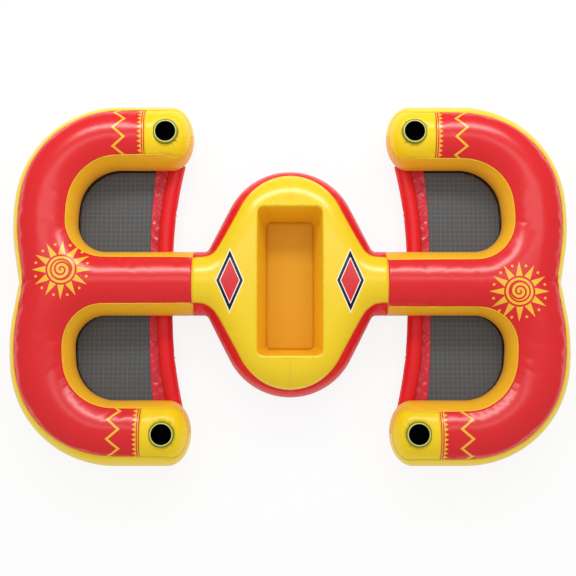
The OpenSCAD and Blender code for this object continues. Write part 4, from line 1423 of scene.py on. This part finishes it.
class LOUNGE_OT_fittings(Operator):
    """Finishes the valves, their caps, the bulkheads and the webs of the construction model"""
    bl_idname = "lounge.fittings"
    bl_label = "Fittings"

    def execute(self, context):
        for name, obj in frame["nodes"].items():
            if obj.hide_render:
                continue
            obj.data.materials.clear()
            obj.data.materials.append(finish(node_finish(name)))
        return {"FINISHED"}


# ---------- studio ----------

class LOUNGE_OT_studio(Operator):
    """Sets up the pale floor, the soft light and the camera"""
    bl_idname = "lounge.studio"
    bl_label = "Studio"

    def execute(self, context):
        scene = context.scene
        scene.view_settings.view_transform = "Standard"
        self.floor(scene)
        self.lamp("soft_box", (0, 2.9, 3.2), (-radians(42), 0, 0), (5.0, 0.75), 78)
        self.lamp("overhead", (0, 0.9, 4.2), (0, 0, 0), (5.2, 0.7), 14)
        self.world(scene)
        camera = bpy.data.cameras.new("camera")
        camera.lens = 59.36
        view = bpy.data.objects.new("camera", camera)
        view.location = (-0.0104, -0.5348, 5.0555)
        view.rotation_euler = (0.1045, 0, 0)
        scene.collection.objects.link(view)
        scene.camera = view
        return {"FINISHED"}

    def lamp(self, name, place, angles, size, power):
        light = bpy.data.lights.new(name, "AREA")
        light.shape = "RECTANGLE"
        light.size, light.size_y = size
        light.energy = power
        obj = bpy.data.objects.new(name, light)
        obj.location, obj.rotation_euler = place, angles
        bpy.context.scene.collection.objects.link(obj)

    def world(self, scene):
        """A plain bright surround: even light on the object, and white behind it."""
        world = bpy.data.worlds.new("surround")
        scene.world = world
        world.use_nodes = True
        tree = world.node_tree
        tree.nodes.clear()
        rays = put(tree, "ShaderNodeLightPath").node.outputs
        seen = calc(tree, ("MAXIMUM", "c", "t"), c=rays["Is Camera Ray"], t=rays["Is Transmission Ray"])
        # The surround shows only faintly in the gloss of the film, as the dark walls of a studio do
        strength = calc(tree, ("SUBTRACT", 0.72, ("MULTIPLY", "g", 0.62)), g=rays["Is Glossy Ray"])
        soft = put(tree, "ShaderNodeBackground", {"Color": (1, 1, 1, 1), "Strength": strength})
        white = put(tree, "ShaderNodeBackground", {"Color": (1, 1, 1, 1), "Strength": 1.0})
        mixed = put(tree, "ShaderNodeMixShader", {0: seen, 1: soft, 2: white})
        put_out = tree.nodes.new("ShaderNodeOutputWorld")
        tree.links.new(mixed, put_out.inputs["Surface"])

    def floor(self, scene):
        floor = start_mesh("floor", bpy.ops.mesh.primitive_plane_add, size=60, location=(0, 0, -0.0005))
        material, tree, shader = start_material("studio floor", {
            "Base Color": srgb(scene.lounge_colours.floor), "Roughness": 0.9, "Specular IOR Level": 0.0})
        rays = put(tree, "ShaderNodeLightPath").node.outputs
        white = put(tree, "ShaderNodeEmission", {"Color": (1, 1, 1, 1), "Strength": 1.0})
        share = calc(tree, ("MULTIPLY", "c", 0.85), c=rays["Is Camera Ray"])
        mixed = put(tree, "ShaderNodeMixShader", {0: share, 1: shader.outputs[0], 2: white})
        out = next(n for n in tree.nodes if n.type == "OUTPUT_MATERIAL")
        tree.links.new(mixed, out.inputs["Surface"])
        floor.data.materials.append(material)


class LOUNGE_PT_panel(Panel):
    """Lists the steps that build the lounge, and its sizes and colours"""
    bl_idname = "LOUNGE_PT_panel"
    bl_label = "Floating lounge"
    bl_space_type = "VIEW_3D"
    bl_region_type = "UI"
    bl_category = "Lounge"

    def draw(self, context):
        for step in STEPS:
            self.layout.operator(step.bl_idname)
        for name in GROUPS:
            group = getattr(context.scene, name)
            box = self.layout.box()
            for prop in group.__annotations__:
                box.prop(group, prop)


STEPS = (LOUNGE_OT_seat_modules, LOUNGE_OT_centre_module, LOUNGE_OT_mesh_seats, LOUNGE_OT_front_tubes,
         LOUNGE_OT_cup_holders, LOUNGE_OT_fittings, LOUNGE_OT_studio)
GROUPS = {
    "lounge_tubes": LoungeTubeSizes, "lounge_body": LoungeBodySizes, "lounge_seats": LoungeSeatSizes,
    "lounge_air": LoungeAir, "lounge_colours": LoungeColours,
}


def register():
    for cls in (*GROUPS.values(), *STEPS, LOUNGE_PT_panel):
        bpy.utils.register_class(cls)
    for name, group in GROUPS.items():
        setattr(bpy.types.Scene, name, PointerProperty(type=group))


def unregister():
    for name in GROUPS:
        delattr(bpy.types.Scene, name)
    for cls in (LOUNGE_PT_panel, *reversed(STEPS), *reversed(list(GROUPS.values()))):
        bpy.utils.unregister_class(cls)


def main():
    register()
    for step in STEPS:
        group, action = step.bl_idname.split(".")
        getattr(getattr(bpy.ops, group), action)()


if __name__ == "__main__":
    main()
